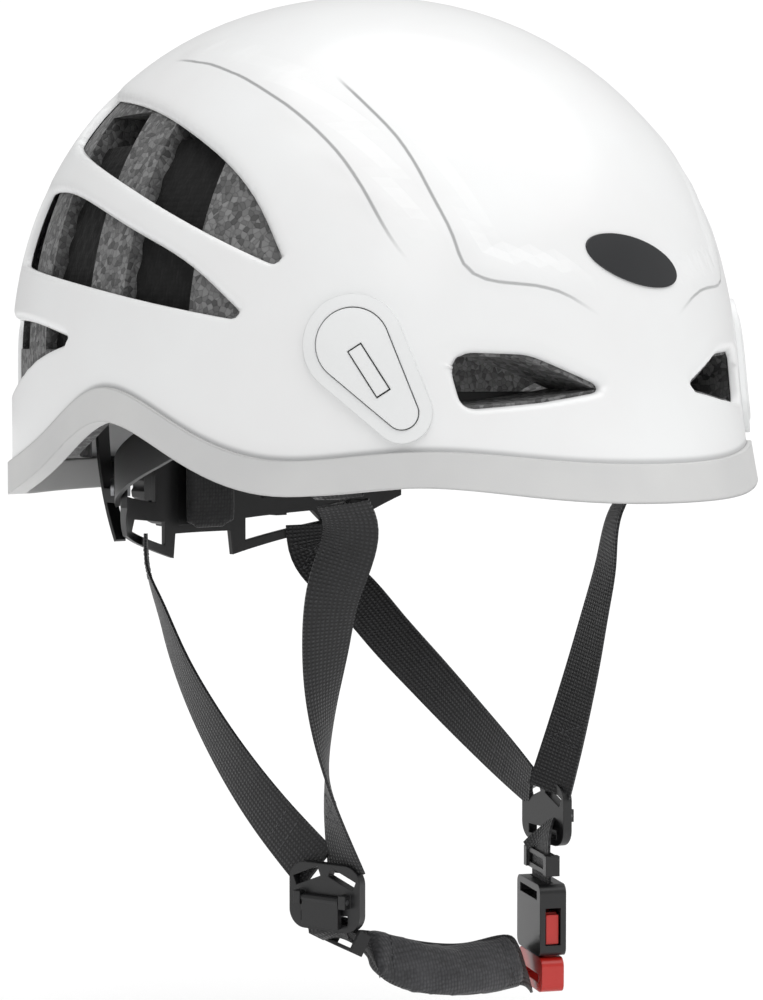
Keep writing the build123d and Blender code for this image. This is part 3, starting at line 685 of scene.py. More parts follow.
@dataclass(frozen=True)
class PortFrame:
    """Place and outline of an accessory port on the right side."""

    bearing: float = 44.0
    big: float = 15.5
    small: float = 9.2

    def axes(self) -> tuple[np.ndarray, np.ndarray, np.ndarray]:
        """Origin, direction along and direction up of the port's plane."""
        a, step = math.radians(self.bearing), 1e-3
        here, there = DOME.points(np.array([[-math.cos(b), -math.sin(b)] for b in (a, a + step)]), 0.0)
        along = (there - here) / np.linalg.norm(there - here)
        return here, along, np.array([0.0, 0.0, 1.0])

    def outline(self, grow: float) -> np.ndarray:
        """Teardrop round the two circles, grown by grow.

        Args:
            grow: distance outside the two circles, in millimetres.

        Returns:
            The outline, one (along, up) a row.
        """
        big, small = np.array([-self.big / 3, self.big / 2]), np.array([self.big * 0.65, -self.big * 0.83])
        points = []
        for angle in np.linspace(0, 2 * math.pi, 72, endpoint=False):
            n = np.array([math.cos(angle), math.sin(angle)])
            far = max(((c, r) for c, r in ((big, self.big + grow), (small, self.small + grow))),
                      key=lambda cr: cr[0] @ n + cr[1])
            points.append(far[0] + far[1] * n)
        return np.array(points)


@dataclass
class Shell:
    """The hard outer shell: vents with rolled lips, raised panels and port holes."""

    wall: float = 3.0
    rim_lift: float = 4.0
    trim: float = 11.0
    ear_arch: float = 21.0
    nape_z: float = -8.0
    brow_z: float = -2.0
    side_from: float = 30.0   # side openings start this far from the middle
    corner: float = 3.6
    span: float = 1.5
    grid: int = 118
    panel_rise: float = 0.55
    panel_ease: float = 11.0
    port: PortFrame = field(default_factory=PortFrame)

    def openings(self) -> list[Opening]:
        """Every hole through the shell, drawn on the right side."""
        tip, mid_tip, back_tip = (-0.495, 0.26), (-0.41, 0.13), (0.205, 0.07)
        sides = [
            ([tip, (-0.25, 0.358), (0.21, 0.53), (0.5, 0.62)],
             [tip, (-0.39, 0.405), (-0.1, 0.59), (0.12, 0.67), (0.5, 0.735)]),
            ([mid_tip, (0.0, 0.195), (0.26, 0.24), (0.62, 0.29)],
             [mid_tip, (-0.25, 0.245), (0.0, 0.345), (0.39, 0.465), (0.62, 0.47)]),
            ([back_tip, (0.4, 0.02), (0.58, -0.05), (0.78, -0.09)],
             [back_tip, (0.42, 0.11), (0.6, 0.12), (0.78, 0.12)]),
        ]
        found = []
        for lower, upper in sides:
            low, high = (spline([DOME.place(*p) for p in line], 30) for line in (lower, upper))
            loop = rounded(np.concatenate([low, high[:0:-1]]), self.corner)
            found.append(Opening(View.SIDE, loop, grow=1.1))
        front = [(-0.55, -0.09), (-0.565, 0.0), (-0.545, 0.036), (-0.38, 0.03), (-0.18, -0.048),
                 (-0.36, -0.073)]
        drawn = np.array([(fx * DOME.half_width, DOME.wide_z + fz * DOME.rise) for fx, fz in front])
        found.append(Opening(View.FRONT, rounded(drawn, self.corner, sharp=15), lip=1.4, hood=4.0, grow=1.0))
        found.append(Opening(View.PORT, self.port.outline(-3.7), lip=0.1, hood=0.0))
        return found

    def creases(self) -> dict[str, np.ndarray]:
        """Edges of the raised panels on the right side, by name.

        Returns:
            One curve a crease, in millimetres.
        """
        outer = [(-68, 28, 140), (-75, -5, 135), (-78, -29, 127), (-78, -48, 117), (-77, -62, 107),
                 (-76, -74, 95), (-75, -82, 84), (-73, -88, 75), (-71, -92, 70)]
        inner = [(-64, -49, 130.5), (-64, -63, 120), (-62, -78, 107), (-61, -90, 91.5), (-59, -99, 76),
                 (-57, -102, 68), (-52, -106, 65), (-43, -111, 64), (-32, -115, 62), (-22, -118, 57),
                 (-17, -120, 54)]
        return dict(zip(CREASES, (spline(outer, 70), spline(inner, 80))))

    def rim(self) -> np.ndarray:
        """The rim line, (y, z) a row."""
        line = [(-1.4, self.brow_z), (-1.1, self.brow_z), (-0.86, 2.5), (-0.52, -0.5), (-0.27, 8),
                (0.05, self.ear_arch), (0.27, 8), (0.58, self.nape_z + 3), (0.85, self.nape_z),
                (1.2, self.nape_z)]
        return spline([(DOME.place(f, 0)[0], z) for f, z in line], 300)

    def margin(self, points: np.ndarray) -> tuple[np.ndarray, np.ndarray, np.ndarray]:
        """How far points of the outer face are from the nearest edge of the material.

        Args:
            points: points in millimetres.

        Returns:
            Signed distance to the edge, depth of the lip there, and width of the lip there.
        """
        rim = self.rim()
        best = points[:, 2] - np.interp(points[:, 1], rim[:, 0], rim[:, 1]) - self.rim_lift
        depth, width = np.zeros(len(points)), np.full(len(points), 0.1)
        folded = points.copy()
        folded[:, 0] = -abs(folded[:, 0])
        here, along, up = self.port.axes()
        outward = np.cross(along, up)
        for opening in self.openings():
            if opening.view is View.SIDE:
                flat, valid = points[:, 1:], abs(points[:, 0]) > self.side_from
            elif opening.view is View.FRONT:
                flat, valid = folded[:, [0, 2]], points[:, 1] < -40
            else:
                local = folded - here
                flat = np.stack([local @ along, local @ up], 1)
                valid = abs(local @ outward) < 25
            far = signed_distance(flat, opening.outline) - opening.grow
            slope = (signed_distance(flat + [0, 0.2], opening.outline) - opening.grow - far) / 0.2
            hood = ease(-0.2, 0.6, slope)
            near = valid & (far < best)
            best = np.where(near, far, best)
            reach = opening.lip + opening.hood * hood
            width = np.where(near, reach, width)
            depth = np.where(near, np.minimum(0.75 * reach, self.wall - 0.6), depth)
        return best, depth, width

    def panel_edge(self, points: np.ndarray, line: np.ndarray) -> tuple[np.ndarray, np.ndarray]:
        """Where points stand against one panel edge.

        Args:
            points: points of the outer face, in millimetres.
            line: the edge, one point a row.

        Returns:
            Signed distance to the edge, and how strong the edge is there, from 0 to 1.
        """
        folded = points.copy()
        folded[:, 0] = -abs(folded[:, 0])
        outward = folded - np.array([0, 0, 20.0])
        outward /= np.linalg.norm(outward, axis=1)[:, None]
        best = np.full(len(points), 1e9)
        side, at = np.zeros(len(points)), np.zeros(len(points))
        for i, (a, b) in enumerate(zip(line[:-1], line[1:])):
            d = b - a
            t = np.clip((folded - a) @ d / (d @ d), 0, 1)
            off = folded - a - t[:, None] * d
            off -= outward * (off * outward).sum(1)[:, None]
            gap = np.linalg.norm(off, axis=1)
            turn = (np.cross(outward, d) * off).sum(1)
            near = gap < best
            best, side = np.where(near, gap, best), np.where(near, np.sign(turn), side)
            at = np.where(near, (i + t) / (len(line) - 1), at)
        strength = ease(0.0, 0.1, at) * (1 - ease(0.85, 1.0, at)) * (1 - ease(7.0, 11.0, best))
        return best * side, strength

    def build(self) -> bpy.types.Object:
        """Builds the shell as one closed mesh and dresses it."""
        bm = bmesh.new()
        bmesh.ops.create_grid(bm, x_segments=self.grid, y_segments=self.grid, size=self.span)
        bmesh.ops.triangulate(bm, faces=bm.faces)
        far = self.margin(DOME.points(places(bm)[:, :2], 0.0))[0]
        bm.verts.ensure_lookup_table()
        bmesh.ops.delete(bm, geom=[v for v, f in zip(bm.verts, far) if f < -9], context="VERTS")
        for reach in (6.0, 4.4):
            self._refine(bm, reach)
        self._snap(bm)
        pq = places(bm)[:, :2]
        outer = DOME.points(pq, 0.0)
        far, depth, width = self.margin(outer)
        roll = 1 - np.sqrt(1 - (1 - np.clip(far / width, 0, 1))**2)
        edges = {run: self.panel_edge(outer, line) for run, line in self.creases().items()}
        gap = -depth * roll
        for across, fade in edges.values():
            gap += self.panel_rise * ease(-1.2, 1.2, across) * (1 - ease(0, self.panel_ease, across)) * fade
        skin = DOME.points(pq, gap) * MM
        lining = DOME.points(pq, -self.wall) * MM
        names = [name for run in edges for name in (f"{run}_mm", f"{run}_fade")]
        layers = {name: bm.verts.layers.float.new(name) for name in names}
        number = bm.verts.layers.int.new("place")
        # rim_mm: height over the trim's upper edge, read by the shell's material for its band of painted shade
        rim, rim_layer = self.rim(), bm.verts.layers.float.new("rim_mm")
        above = outer[:, 2] - np.interp(outer[:, 1], rim[:, 0], rim[:, 1]) - self.trim
        for i, v in enumerate(bm.verts):
            v[number], v[rim_layer] = i, above[i]
            for run, (across, fade) in edges.items():
                v[layers[f"{run}_mm"]] = across[i]
                v[layers[f"{run}_fade"]] = fade[i] * min(max(far[i] - 1, 0) / 3, 1)
        grown = bmesh.ops.extrude_face_region(bm, geom=bm.faces[:], use_keep_orig=True)
        inner = {v for v in grown["geom"] if isinstance(v, bmesh.types.BMVert)}
        for v in bm.verts:
            v.co = Vector(lining[v[number]] if v in inner else skin[v[number]])
            if v in inner:
                for run in edges:
                    v[layers[f"{run}_fade"]] = 0.0
        bm.verts.layers.int.remove(number)
        bmesh.ops.recalc_face_normals(bm, faces=bm.faces)
        obj = finished("shell_skin", bm, sharp=50)
        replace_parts(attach(SHELL.dress(obj), "helmet"), "outer_shell")
        return obj

    def _refine(self, bm: bmesh.types.BMesh, reach: float) -> None:
        """Halves the edges that lie within reach of an opening's edge.

        Args:
            bm: the flat grid.
            reach: distance in millimetres.
        """
        far = abs(self.margin(DOME.points(places(bm)[:, :2], 0.0))[0])
        close = dict(zip(bm.verts, far < reach))
        edges = [e for e in bm.edges if close[e.verts[0]] or close[e.verts[1]]]
        bmesh.ops.subdivide_edges(bm, edges=edges, cuts=1, use_grid_fill=False)
        bmesh.ops.triangulate(bm, faces=bm.faces)

    def _snap(self, bm: bmesh.types.BMesh) -> None:
        """Moves the vertices nearest to each edge of the material onto it, and deletes what lies outside.

        Args:
            bm: the flat grid.
        """
        pq = places(bm)[:, :2]
        bm.verts.index_update()
        ends = np.array([[v.index for v in e.verts] for e in bm.edges])
        far = self.margin(DOME.points(pq, 0.0))[0]
        a, b = ends.T
        cross = far[a] * far[b] < 0
        a, b = a[cross], b[cross]
        first = abs(far[a]) <= abs(far[b])
        near, other = np.where(first, a, b), np.where(first, b, a)
        share = abs(far[near]) / (abs(far[near]) + abs(far[other]))
        target = pq.copy()
        for i in np.argsort(-share):
            target[near[i]] = pq[near[i]] + (pq[other[i]] - pq[near[i]]) * share[i]
        snapped = np.unique(near)
        for _ in range(2):
            here = target[snapped]
            value = self.margin(DOME.points(here, 0.0))[0]
            step = 1e-4
            slope = np.stack([(self.margin(DOME.points(here + shift, 0.0))[0] - value) / step
                              for shift in (np.array([step, 0]), np.array([0, step]))], 1)
            move = -value[:, None] * slope / np.maximum((slope**2).sum(1), 1e-6)[:, None]
            target[snapped] = here + np.clip(move, -2e-3, 2e-3)
        far[snapped] = 0
        for v in bm.verts:
            v.co = Vector((*target[v.index], 0))
        gone = [f for f in bm.faces if max(far[v.index] for v in f.verts) <= 1e-9]
        bmesh.ops.delete(bm, geom=gone, context="FACES")
        loose = [v for v in bm.verts if not v.link_faces]
        bmesh.ops.delete(bm, geom=loose, context="VERTS")


# ---------------------------------------------------------------- padded pieces
def inflate(obj: bpy.types.Object, voxel: float, cap: float) -> bpy.types.Object:
    """Swells a closed pad with a cloth simulation and applies the result.

    Args:
        obj: the pad, at the origin.
        voxel: remesh size in millimetres.
        cap: how far a point may move, in millimetres.

    Returns:
        The same object with its final mesh.
    """
    remesh = obj.modifiers.new("even_mesh", "REMESH")
    remesh.mode, remesh.voxel_size = "VOXEL", voxel * MM
    _apply(obj)
    start = np.array([v.co for v in obj.data.vertices])
    cloth = obj.modifiers.new("swell", "CLOTH")
    cloth.settings.use_pressure = True
    cloth.settings.uniform_pressure_force = SWELL_PRESSURE
    cloth.settings.quality = 6
    cloth.settings.effector_weights.gravity = 0
    scene = bpy.context.scene
    for moment in range(1, SWELL_FRAMES + 1):
        scene.frame_set(moment)
    _apply(obj)
    scene.frame_set(1)
    end = np.array([v.co for v in obj.data.vertices])
    move = end - start
    length = np.linalg.norm(move, axis=1, keepdims=True)
    end = start + move * np.minimum(1, cap * MM / np.maximum(length, 1e-9))
    obj.data.vertices.foreach_set("co", end.ravel())
    smooth = obj.modifiers.new("settle", "SMOOTH")
    smooth.factor, smooth.iterations = 0.5, 3
    finer = obj.modifiers.new("finer", "SUBSURF")
    finer.levels = finer.render_levels = 1
    _apply(obj)
    for face in obj.data.polygons:
        face.use_smooth = True
    return obj


def _apply(obj: bpy.types.Object) -> None:
    """Applies every modifier of obj."""
    bpy.context.view_layer.update()
    seen = obj.evaluated_get(bpy.context.evaluated_depsgraph_get())
    mesh = bpy.data.meshes.new_from_object(seen)
    obj.modifiers.clear()
    obj.data = mesh


def slab(across: int, along: int,
         place: Callable[[np.ndarray, np.ndarray, float], np.ndarray]) -> bmesh.types.BMesh:
    """A closed sheet with thickness that follows a surface.

    Args:
        across: faces across the sheet.
        along: faces along it.
        place: gives points in millimetres from s and t, each from -1 to 1, and a side, 0 or 1.

    Returns:
        The closed shape, in metres.
    """
    bm = bmesh.new()
    bmesh.ops.create_grid(bm, x_segments=across, y_segments=along, size=1.0)
    grown = bmesh.ops.extrude_face_region(bm, geom=bm.faces[:], use_keep_orig=True)
    far = {v for v in grown["geom"] if isinstance(v, bmesh.types.BMVert)}
    s, t = places(bm)[:, 0], places(bm)[:, 1]
    near_side, far_side = place(s, t, 0), place(s, t, 1)
    for i, v in enumerate(bm.verts):
        v.co = Vector(far_side[i] if v in far else near_side[i]) * MM
    bmesh.ops.recalc_face_normals(bm, faces=bm.faces)
    return bm


@dataclass
class Padding:
    """Every cushion inside the helmet, and the sewn channels in them."""

    foam_in: float = -23.3    # inner face of the foam, outside the shell's outer face
    comfort: float = 3.0      # thickness of the crown pad
    slack: float = 0.6        # room between a pad and what it lies on
    crown_reach: float = 0.8  # stereographic half-width of the crown pad
    sewn_pitch: float = 26.0  # width of one sewn channel
    band_out: float = 27.9    # headband's outer face, inside the shell's outer face
    band: float = 1.6
    pad: float = 4.5
    brow_low: float = 10.5
    brow_high: float = 28.5
    brow_half: float = 63.0   # half its arc, in degrees
    arm_x: float = 84.0
    arm_y: float = 104.0
    cradle_in: float = 7.4    # cradle's inner face, inside the arms' outer line
    channels: int = 3
    rib_start: float = -29.0
    rib_pitch: float = 50.0
    rib_gap: float = 31.0     # width of a channel between two ribs
    channel_low: float = 44.0
    channel_top: float = 112.0
    shade_net_in: float = -8.0      # outer face of the black net, whose colour is partly painted shade, outside the shell's outer face
    shade_net: float = 1.5
    nape_half: float = 12.5
    nape_z: float = -8.0
    nape_rise: float = 14.5

    def comfort_liner(self) -> bpy.types.Object:
        """Thin crown pad sewn into broad channels that run from front to back."""
        def spot(s: np.ndarray, t: np.ndarray, side: float) -> np.ndarray:
            turn = np.maximum(abs(s), abs(t)) / np.maximum(np.hypot(s, t), 1e-9)
            pq = np.stack([s * turn * self.crown_reach, t * turn * self.crown_reach], 1)
            base = DOME.points(pq, self.foam_in - self.slack)
            sewn = np.minimum(abs(np.sin(base[:, 0] * math.pi / self.sewn_pitch)) * 3, 1)
            sewn *= np.minimum((1 - np.hypot(s, t) * turn) * 12, 1) * 0.75 + 0.25
            return DOME.points(pq, self.foam_in - self.slack - side * (0.5 + (self.comfort - 0.9) * sewn))

        obj = finished("crown_pad", slab(80, 80, spot), sharp=70)
        LINING.dress(obj)
        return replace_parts(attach(obj, "helmet"), "comfort_liner")

    def channel_shade_nets(self) -> list[bpy.types.Object]:
        """Black spacer net that closes each air channel between the foam ribs. Its near-black colour without
        sheen is partly the net's own and partly painted shade for the dark inside of the helmet.

        Returns:
            One net a channel and side.
        """
        made = []
        for i in range(self.channels):
            start = self.rib_start + i * self.rib_pitch
            for side, word in ((-1, "right"), (1, "left")):
                def spot(s: np.ndarray, t: np.ndarray, face: float, side: int = side, start: float = start
                         ) -> np.ndarray:
                    y = start + self.rib_gap * (0.5 + s * 0.495)
                    z = self.channel_low + (self.channel_top - self.channel_low) * (0.5 + t * 0.495)
                    ridge = 0.5 * np.sin(s * 14) * np.cos(t * 20)
                    x = DOME.side_x(self.shade_net_in - face * self.shade_net, y, z) + ridge * (1 - face)
                    return np.stack([side * x, y, z], 1)

                obj = finished(f"channel_shade_net_{i + 1}_{word}", slab(24, 40, spot))
                made.append(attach(SHADE_NET.dress(obj), "helmet"))
        return made

    def brow_pad(self) -> bpy.types.Object:
        """Pad inside the front of the headband."""
        low, high = -self.band_out - self.band - 1.2, -self.band_out - self.band - self.pad + 0.9

        def spot(s: np.ndarray, t: np.ndarray, side: float) -> np.ndarray:
            gap = high if side else low
            angle = s * math.radians(self.brow_half)
            half = (self.brow_high - self.brow_low) / 2 * (1 - 0.12 * s * s)
            z = (self.brow_low + self.brow_high) / 2 + t * half
            reach = DOME.front + gap
            x, y = np.sin(angle) * (DOME.half_width + gap), -np.cos(angle) * reach
            size = ((abs(x) / (DOME.half_width + gap))**DOME.fullness + (abs(y) / reach)**DOME.fullness)
            size = size**(-1 / DOME.fullness)
            x, y = x * size, y * size
            below = np.clip((DOME.peak_top - z) / DOME.peak_top, 0, 1.2)
            flare = 1 + DOME.peak_flare / DOME.front * below**2 * (y / reach)**2
            return np.stack([x, y * flare, z], 1)

        obj = LINING.dress(finished("forehead_pad", slab(60, 10, spot)))
        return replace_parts(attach(inflate(obj, 2.2, 1.2), "helmet"), "brow_pad")

    def nape_pad(self) -> bpy.types.Object:
        """Pad inside the nape cradle."""
        out_x, out_y = self.arm_x - self.cradle_in, self.arm_y - self.cradle_in

        def spot(s: np.ndarray, t: np.ndarray, side: float) -> np.ndarray:
            x = s * self.nape_half
            inset = side * (self.pad - 2.0) + self.slack
            y = (out_y - inset) * np.sqrt(1 - (x / (out_x - inset))**2)
            return np.stack([x, y, self.nape_z + t * self.nape_rise * (1 - 0.15 * s**4)], 1)

        obj = LINING.dress(finished("nape_cushion", slab(20, 18, spot)))
        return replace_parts(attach(inflate(obj, 2.2, 1.0), "cradle"), "nape_pad")


# ---------------------------------------------------------------- harness
@dataclass(frozen=True)
class Jaw:
    """Plane of a strap divider: x across the webbing, y up, z outwards."""

    side: int
    x: float = 51.0
    y: float = -30.0
    z_right: float = -135.0
    z_left: float = -118.0
    toe: float = 14.0
    width: float = 28.0
    height: float = 22.0
    thick: float = 3.4

    def axes(self) -> tuple[Vector, Vector]:
        """Outward direction and direction across."""
        a = math.radians(self.toe)
        outward = Vector((self.side * math.cos(a), -math.sin(a), 0))
        return outward, Vector((0, 0, 1)).cross(outward)

    def point(self, across: float, up: float, out: float) -> Vector:
        """A point of the plane, in millimetres."""
        outward, level = self.axes()
        z = self.z_right if self.side < 0 else self.z_left
        return Vector((self.side * self.x, self.y, z)) + level * across + Vector((0, 0, up)) + outward * out


@dataclass
class Strap:
    """Flat webbing through stations, each a point and the direction of its width."""

    name: str
    stations: list[Station]
    width: float = 18.0
    thick: float = 1.4
    pitch: float = 2.5

    def lines(self, count: int) -> tuple[np.ndarray, np.ndarray, np.ndarray, float]:
        """Centre line, width directions, face directions and length.

        Args:
            count: number of points on the line.

        Returns:
            Centre line, width directions, face directions and length in millimetres.
        """
        points = np.array([tuple(p) for p, _ in self.stations], float)
        across = np.array([tuple(a) for _, a in self.stations], float)
        across /= np.linalg.norm(across, axis=1)[:, None]
        both = spline(np.hstack([points, across * 1e-3]), count)
        line, level = both[:, :3], both[:, 3:] * 1e3
        run = np.gradient(line, axis=0)
        run /= np.linalg.norm(run, axis=1)[:, None]
        level -= run * (level * run).sum(1)[:, None]
        level /= np.linalg.norm(level, axis=1)[:, None]
        face = np.cross(level, run)
        length = np.linalg.norm(np.diff(line, axis=0), axis=1).sum()
        return line, level, face, length

    def build(self) -> bpy.types.Object:
        """Builds the strap as a thin closed band with a weave map in metres."""
        rough = self.lines(60)[3]
        count = max(8, int(rough / self.pitch))
        line, level, face, length = self.lines(count + 1)
        bm = bmesh.new()
        bmesh.ops.create_grid(bm, x_segments=8, y_segments=count, size=1.0)
        weave = bm.loops.layers.uv.new("webbing")
        for polygon in bm.faces:
            for loop in polygon.loops:
                x, y = loop.vert.co.x, loop.vert.co.y
                loop[weave].uv = (x * self.width / 2 * MM, (y + 1) / 2 * length * MM)
        steps = np.linspace(-1, 1, count + 1)
        grown = bmesh.ops.extrude_face_region(bm, geom=bm.faces[:], use_keep_orig=True)
        far = {v for v in grown["geom"] if isinstance(v, bmesh.types.BMVert)}
        for v in bm.verts:
            s, t = v.co.x, v.co.y
            c, w, n = (np.array([np.interp(t, steps, part[:, k]) for k in range(3)])
                       for part in (line, level, face))
            half = self.thick / 2 * (1 - 0.35 * abs(s)**6)
            v.co = Vector(c + w * s * self.width / 2 + n * (half if v in far else -half)) * MM
        bmesh.ops.recalc_face_normals(bm, faces=bm.faces)
        obj = finished(self.name, bm, sharp=60)
        return WEB.dress(obj)

    def stitches(self, name: str, rows: Sequence[tuple[float, float, float, float]], pitch: float = 2.6
                 ) -> bpy.types.Object:
        """Rows of thread on both faces.

        Args:
            name: the object's name.
            rows: (across, along, across, along) in millimetres, along measured from the strap's first end.
            pitch: length of one stitch.

        Returns:
            One object with every stitch.
        """
        line, level, face, length = self.lines(120)
        steps = np.linspace(0, length, 120)
        bm = bmesh.new()
        for x0, y0, x1, y1 in rows:
            count = max(1, int(math.hypot(x1 - x0, y1 - y0) / pitch))
            for i in range(count):
                a, b = ((i + k) / count for k in (0.12, 0.88))
                ends = [(x0 + (x1 - x0) * t, y0 + (y1 - y0) * t) for t in (a, b)]
                for turn in (-1, 1):
                    spots = []
                    for x, y in ends:
                        c, w, n = (np.array([np.interp(y, steps, part[:, k]) for k in range(3)])
                                   for part in (line, level, face))
                        spots.append(Vector(c + w * x + n * turn * (self.thick / 2 - 0.02)) * MM)
                    self._thread(bm, spots[0], spots[1])
        return THREAD.dress(finished(name, bm, sharp=80))

    @staticmethod
    def _thread(bm: bmesh.types.BMesh, start: Vector, end: Vector, radius: float = 0.26) -> None:
        """One stitch between two points.

        Args:
            bm: the shape that gets the stitch.
            start: one end, in metres.
            end: the other end.
            radius: the thread's, in millimetres.
        """
        made = bmesh.ops.create_uvsphere(bm, u_segments=6, v_segments=4, radius=radius * MM)["verts"]
        run = end - start
        turn = run.to_track_quat("Z", "Y")
        grow = max(run.length / 2 / (radius * MM), 1)
        for v in made:
            v.co = (start + end) / 2 + turn @ Vector((v.co.x, v.co.y, v.co.z * grow))


@dataclass
class Harness:
    """The chin harness: straps, stitching and the padded chin sleeve."""

    foam_in: float = -23.3
    band_low: float = 8.0     # lower edge of the headband
    temple_z: float = 20.0
    temple_x: float = 61.0    # where the front strap leaves the band
    temple_drop: float = 20.0
    nape_x: float = 39.0      # where the rear strap leaves the cradle
    nape_drop: float = 23.5
    splay: float = 6.0        # distance from a divider's middle to each of its upper slots
    web: float = 18.0
    thin: float = 1.4
    anchor: float = 1.0
    arm_y: float = 104.0
    wheel_z: float = -7.0
    chin_z: float = -167.5
    sleeve_w: float = 20.0
    sleeve_t: float = 8.0
    buckle_at: tuple[float, float, float] = (46.0, -32.5, -141.0)
    buckle_bearing: float = 63.0
    buckle_t: float = 9.5
    base_top: float = 25.6
    bar: float = 4.0

    def back(self, jaw: Jaw) -> float:
        """Height of the webbing's middle behind a divider's face."""
        return -jaw.thick / 2 - self.thin / 2 - 0.25

    def buckle_point(self, across: float, up: float, out: float) -> Vector:
        """A point in the buckle's plane.

        Args:
            across: distance along the buckle's width.
            up: height over its middle.
            out: distance outside its middle plane.

        Returns:
            The point, in millimetres.
        """
        turn = math.radians(self.buckle_bearing)
        along = Vector((math.cos(turn), math.sin(turn), 0))
        outward = Vector((math.sin(turn), -math.cos(turn), 0))
        return Vector(self.buckle_at) + along * across + Vector((0, 0, up)) + outward * out

    @staticmethod
    def bowed(start: Sequence[float], end: Sequence[float], bow: Sequence[float], first: float, last: float,
              count: int = 6) -> list[Station]:
        """Stations of a strap that bows while its width turns from one bearing to another.

        Args:
            start: first point.
            end: last point.
            bow: how far the middle stands off the straight line.
            first: bearing of the width at the start, in degrees.
            last: its bearing at the end.
            count: number of steps.

        Returns:
            The stations, in order.
        """
        start, end, bow = Vector(start), Vector(end), Vector(bow)
        made: list[Station] = []
        for i in range(count + 1):
            t = i / count
            angle = math.radians(first + (last - first) * t)
            here = start + (end - start) * t + bow * (4 * t * (1 - t))
            made.append((here, (math.cos(angle), math.sin(angle), 0)))
        return made

    def front_strap(self, side: int, word: str) -> list[bpy.types.Object]:
        """Strap from the temple anchor to the divider.

        Args:
            side: -1 for the right, 1 for the left.
            word: "right" or "left".

        Returns:
            The strap and its stitches.
        """
        jaw, strap_y = Jaw(side), -0.46 * DOME.front
        foam_x = DOME.wall_x(self.foam_in, strap_y, self.temple_z)
        slope = DOME.wall_x(self.foam_in, strap_y + 1, self.temple_z) - foam_x
        turn = math.atan2(1, slope)
        anchor_x = foam_x - (0.7 + self.anchor + self.thin / 2) / math.sin(turn)
        tangent = (-side * slope, -1, 0)
        top: list[Station] = [((side * anchor_x, strap_y, self.temple_z + 6), tangent),
                              ((side * anchor_x, strap_y, self.band_low - 1), tangent)]
        bow, first, last = ((-4, 8, 0), 124, 270) if side < 0 else ((1, -1, 0), 56, 100)
        run = self.bowed((side * self.temple_x, strap_y + 3, self.band_low - self.temple_drop),
                         jaw.point(-side * self.splay, jaw.height / 2 - 3, self.back(jaw)), bow, first, last)
        strap = Strap(f"temple_strap_{word}", top + run)
        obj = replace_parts(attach(strap.build(), "helmet"), f"front_strap_{word}")
        length = strap.lines(60)[3]
        half = self.web / 2 - 2
        thread = strap.stitches(f"temple_stitches_{word}", [
            (-half, length - 26, half, length - 26), (-half, length - 18, half, length - 18),
            (-half, length - 26, half, length - 18), (half, length - 26, -half, length - 18)])
        return [obj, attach(thread, "helmet")]

    def rear_strap(self, side: int, word: str) -> list[bpy.types.Object]:
        """Strap from the nape cradle to the divider.

        Args:
            side: -1 for the right, 1 for the left.
            word: "right" or "left".

        Returns:
            The strap and its stitches.
        """
        jaw = Jaw(side)
        start = (side * self.nape_x, 0.79 * self.arm_y, self.wheel_z - self.nape_drop)
        end = jaw.point(side * self.splay, jaw.height / 2 - 3, self.back(jaw))
        run = self.bowed(start, end, (side * 6, 5, -3), 52 if side < 0 else 128, 104 if side < 0 else 76)
        loop = (side * 38.5, 0.80 * self.arm_y, self.wheel_z - 15)
        strap = Strap(f"nape_strap_{word}", [(loop, run[0][1]), *run])
        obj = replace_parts(strap.build(), f"rear_strap_{word}")
        length = strap.lines(60)[3]
        half = self.web / 2 - 2
        thread = strap.stitches(f"nape_stitches_{word}", [
            (-half, 6, half, 6), (-half, 14, half, 14), (-half, 6, half, 14), (half, 6, -half, 14),
            (-half, length - 22, half, length - 22), (-half, length - 16, half, length - 16)])
        for piece in (obj, thread):
            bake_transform(piece)
        return [obj, thread]

    def cheek_strap(self) -> bpy.types.Object:
        """Short strap from the left divider to the buckle socket."""
        jaw, turn = Jaw(1), math.radians(self.buckle_bearing)
        level = (math.cos(turn), math.sin(turn), 0)
        strap = Strap("cheek_web", [
            (jaw.point(0, -jaw.height / 2 + 5, self.back(jaw)), jaw.axes()[1]),
            (self.buckle_point(0, 12.5, 0), level), (self.buckle_point(0, 4, 0), level),
            (self.buckle_point(0, -self.bar, 0), level)], pitch=1.5)
        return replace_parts(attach(strap.build(), "helmet"), "cheek_strap")

    def sag(self) -> list[Station]:
        """Stations of the chin strap's free run."""
        y, z, upright = Jaw(-1).y, self.chin_z, (0.0, 0.45, 0.9)
        return [((-44, y - 2, z + 18), (0.1, 1, 0.1)), ((-36, y - 4, z + 13.5), (0.2, 0.75, 0.6)),
                ((-22, y - 6, z + 7), upright), ((-4, y - 6, z + 2.5), upright),
                ((14, y - 5, z + 0.5), upright), ((32, y - 4, z), upright)]

    def chin_strap(self) -> list[bpy.types.Object]:
        """Chin webbing and its padded sleeve.

        Returns:
            The webbing, the sleeve and the sleeve's stitches.
        """
        jaw = Jaw(-1)
        level = tuple(-c for c in jaw.axes()[1])
        upright = (0.0, 0.45, 0.9)
        top: list[Station] = [(jaw.point(0, -jaw.height / 2 + 5, self.back(jaw)), level),
                              (jaw.point(0, -jaw.height / 2 - 1, self.back(jaw)), level)]
        low = self.buckle_point(0, -self.base_top - 6.2, -self.buckle_t / 2 - 1.2)
        strap = Strap("chin_web", top + self.sag() + [(low, upright)])
        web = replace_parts(strap.build(), "chin_strap")
        sleeve, cuffs = self.sleeve()
        for piece in (web, sleeve, cuffs):
            Vector(self.sag()[1][0]) * MM
            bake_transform(piece)
        return [web, sleeve, cuffs]

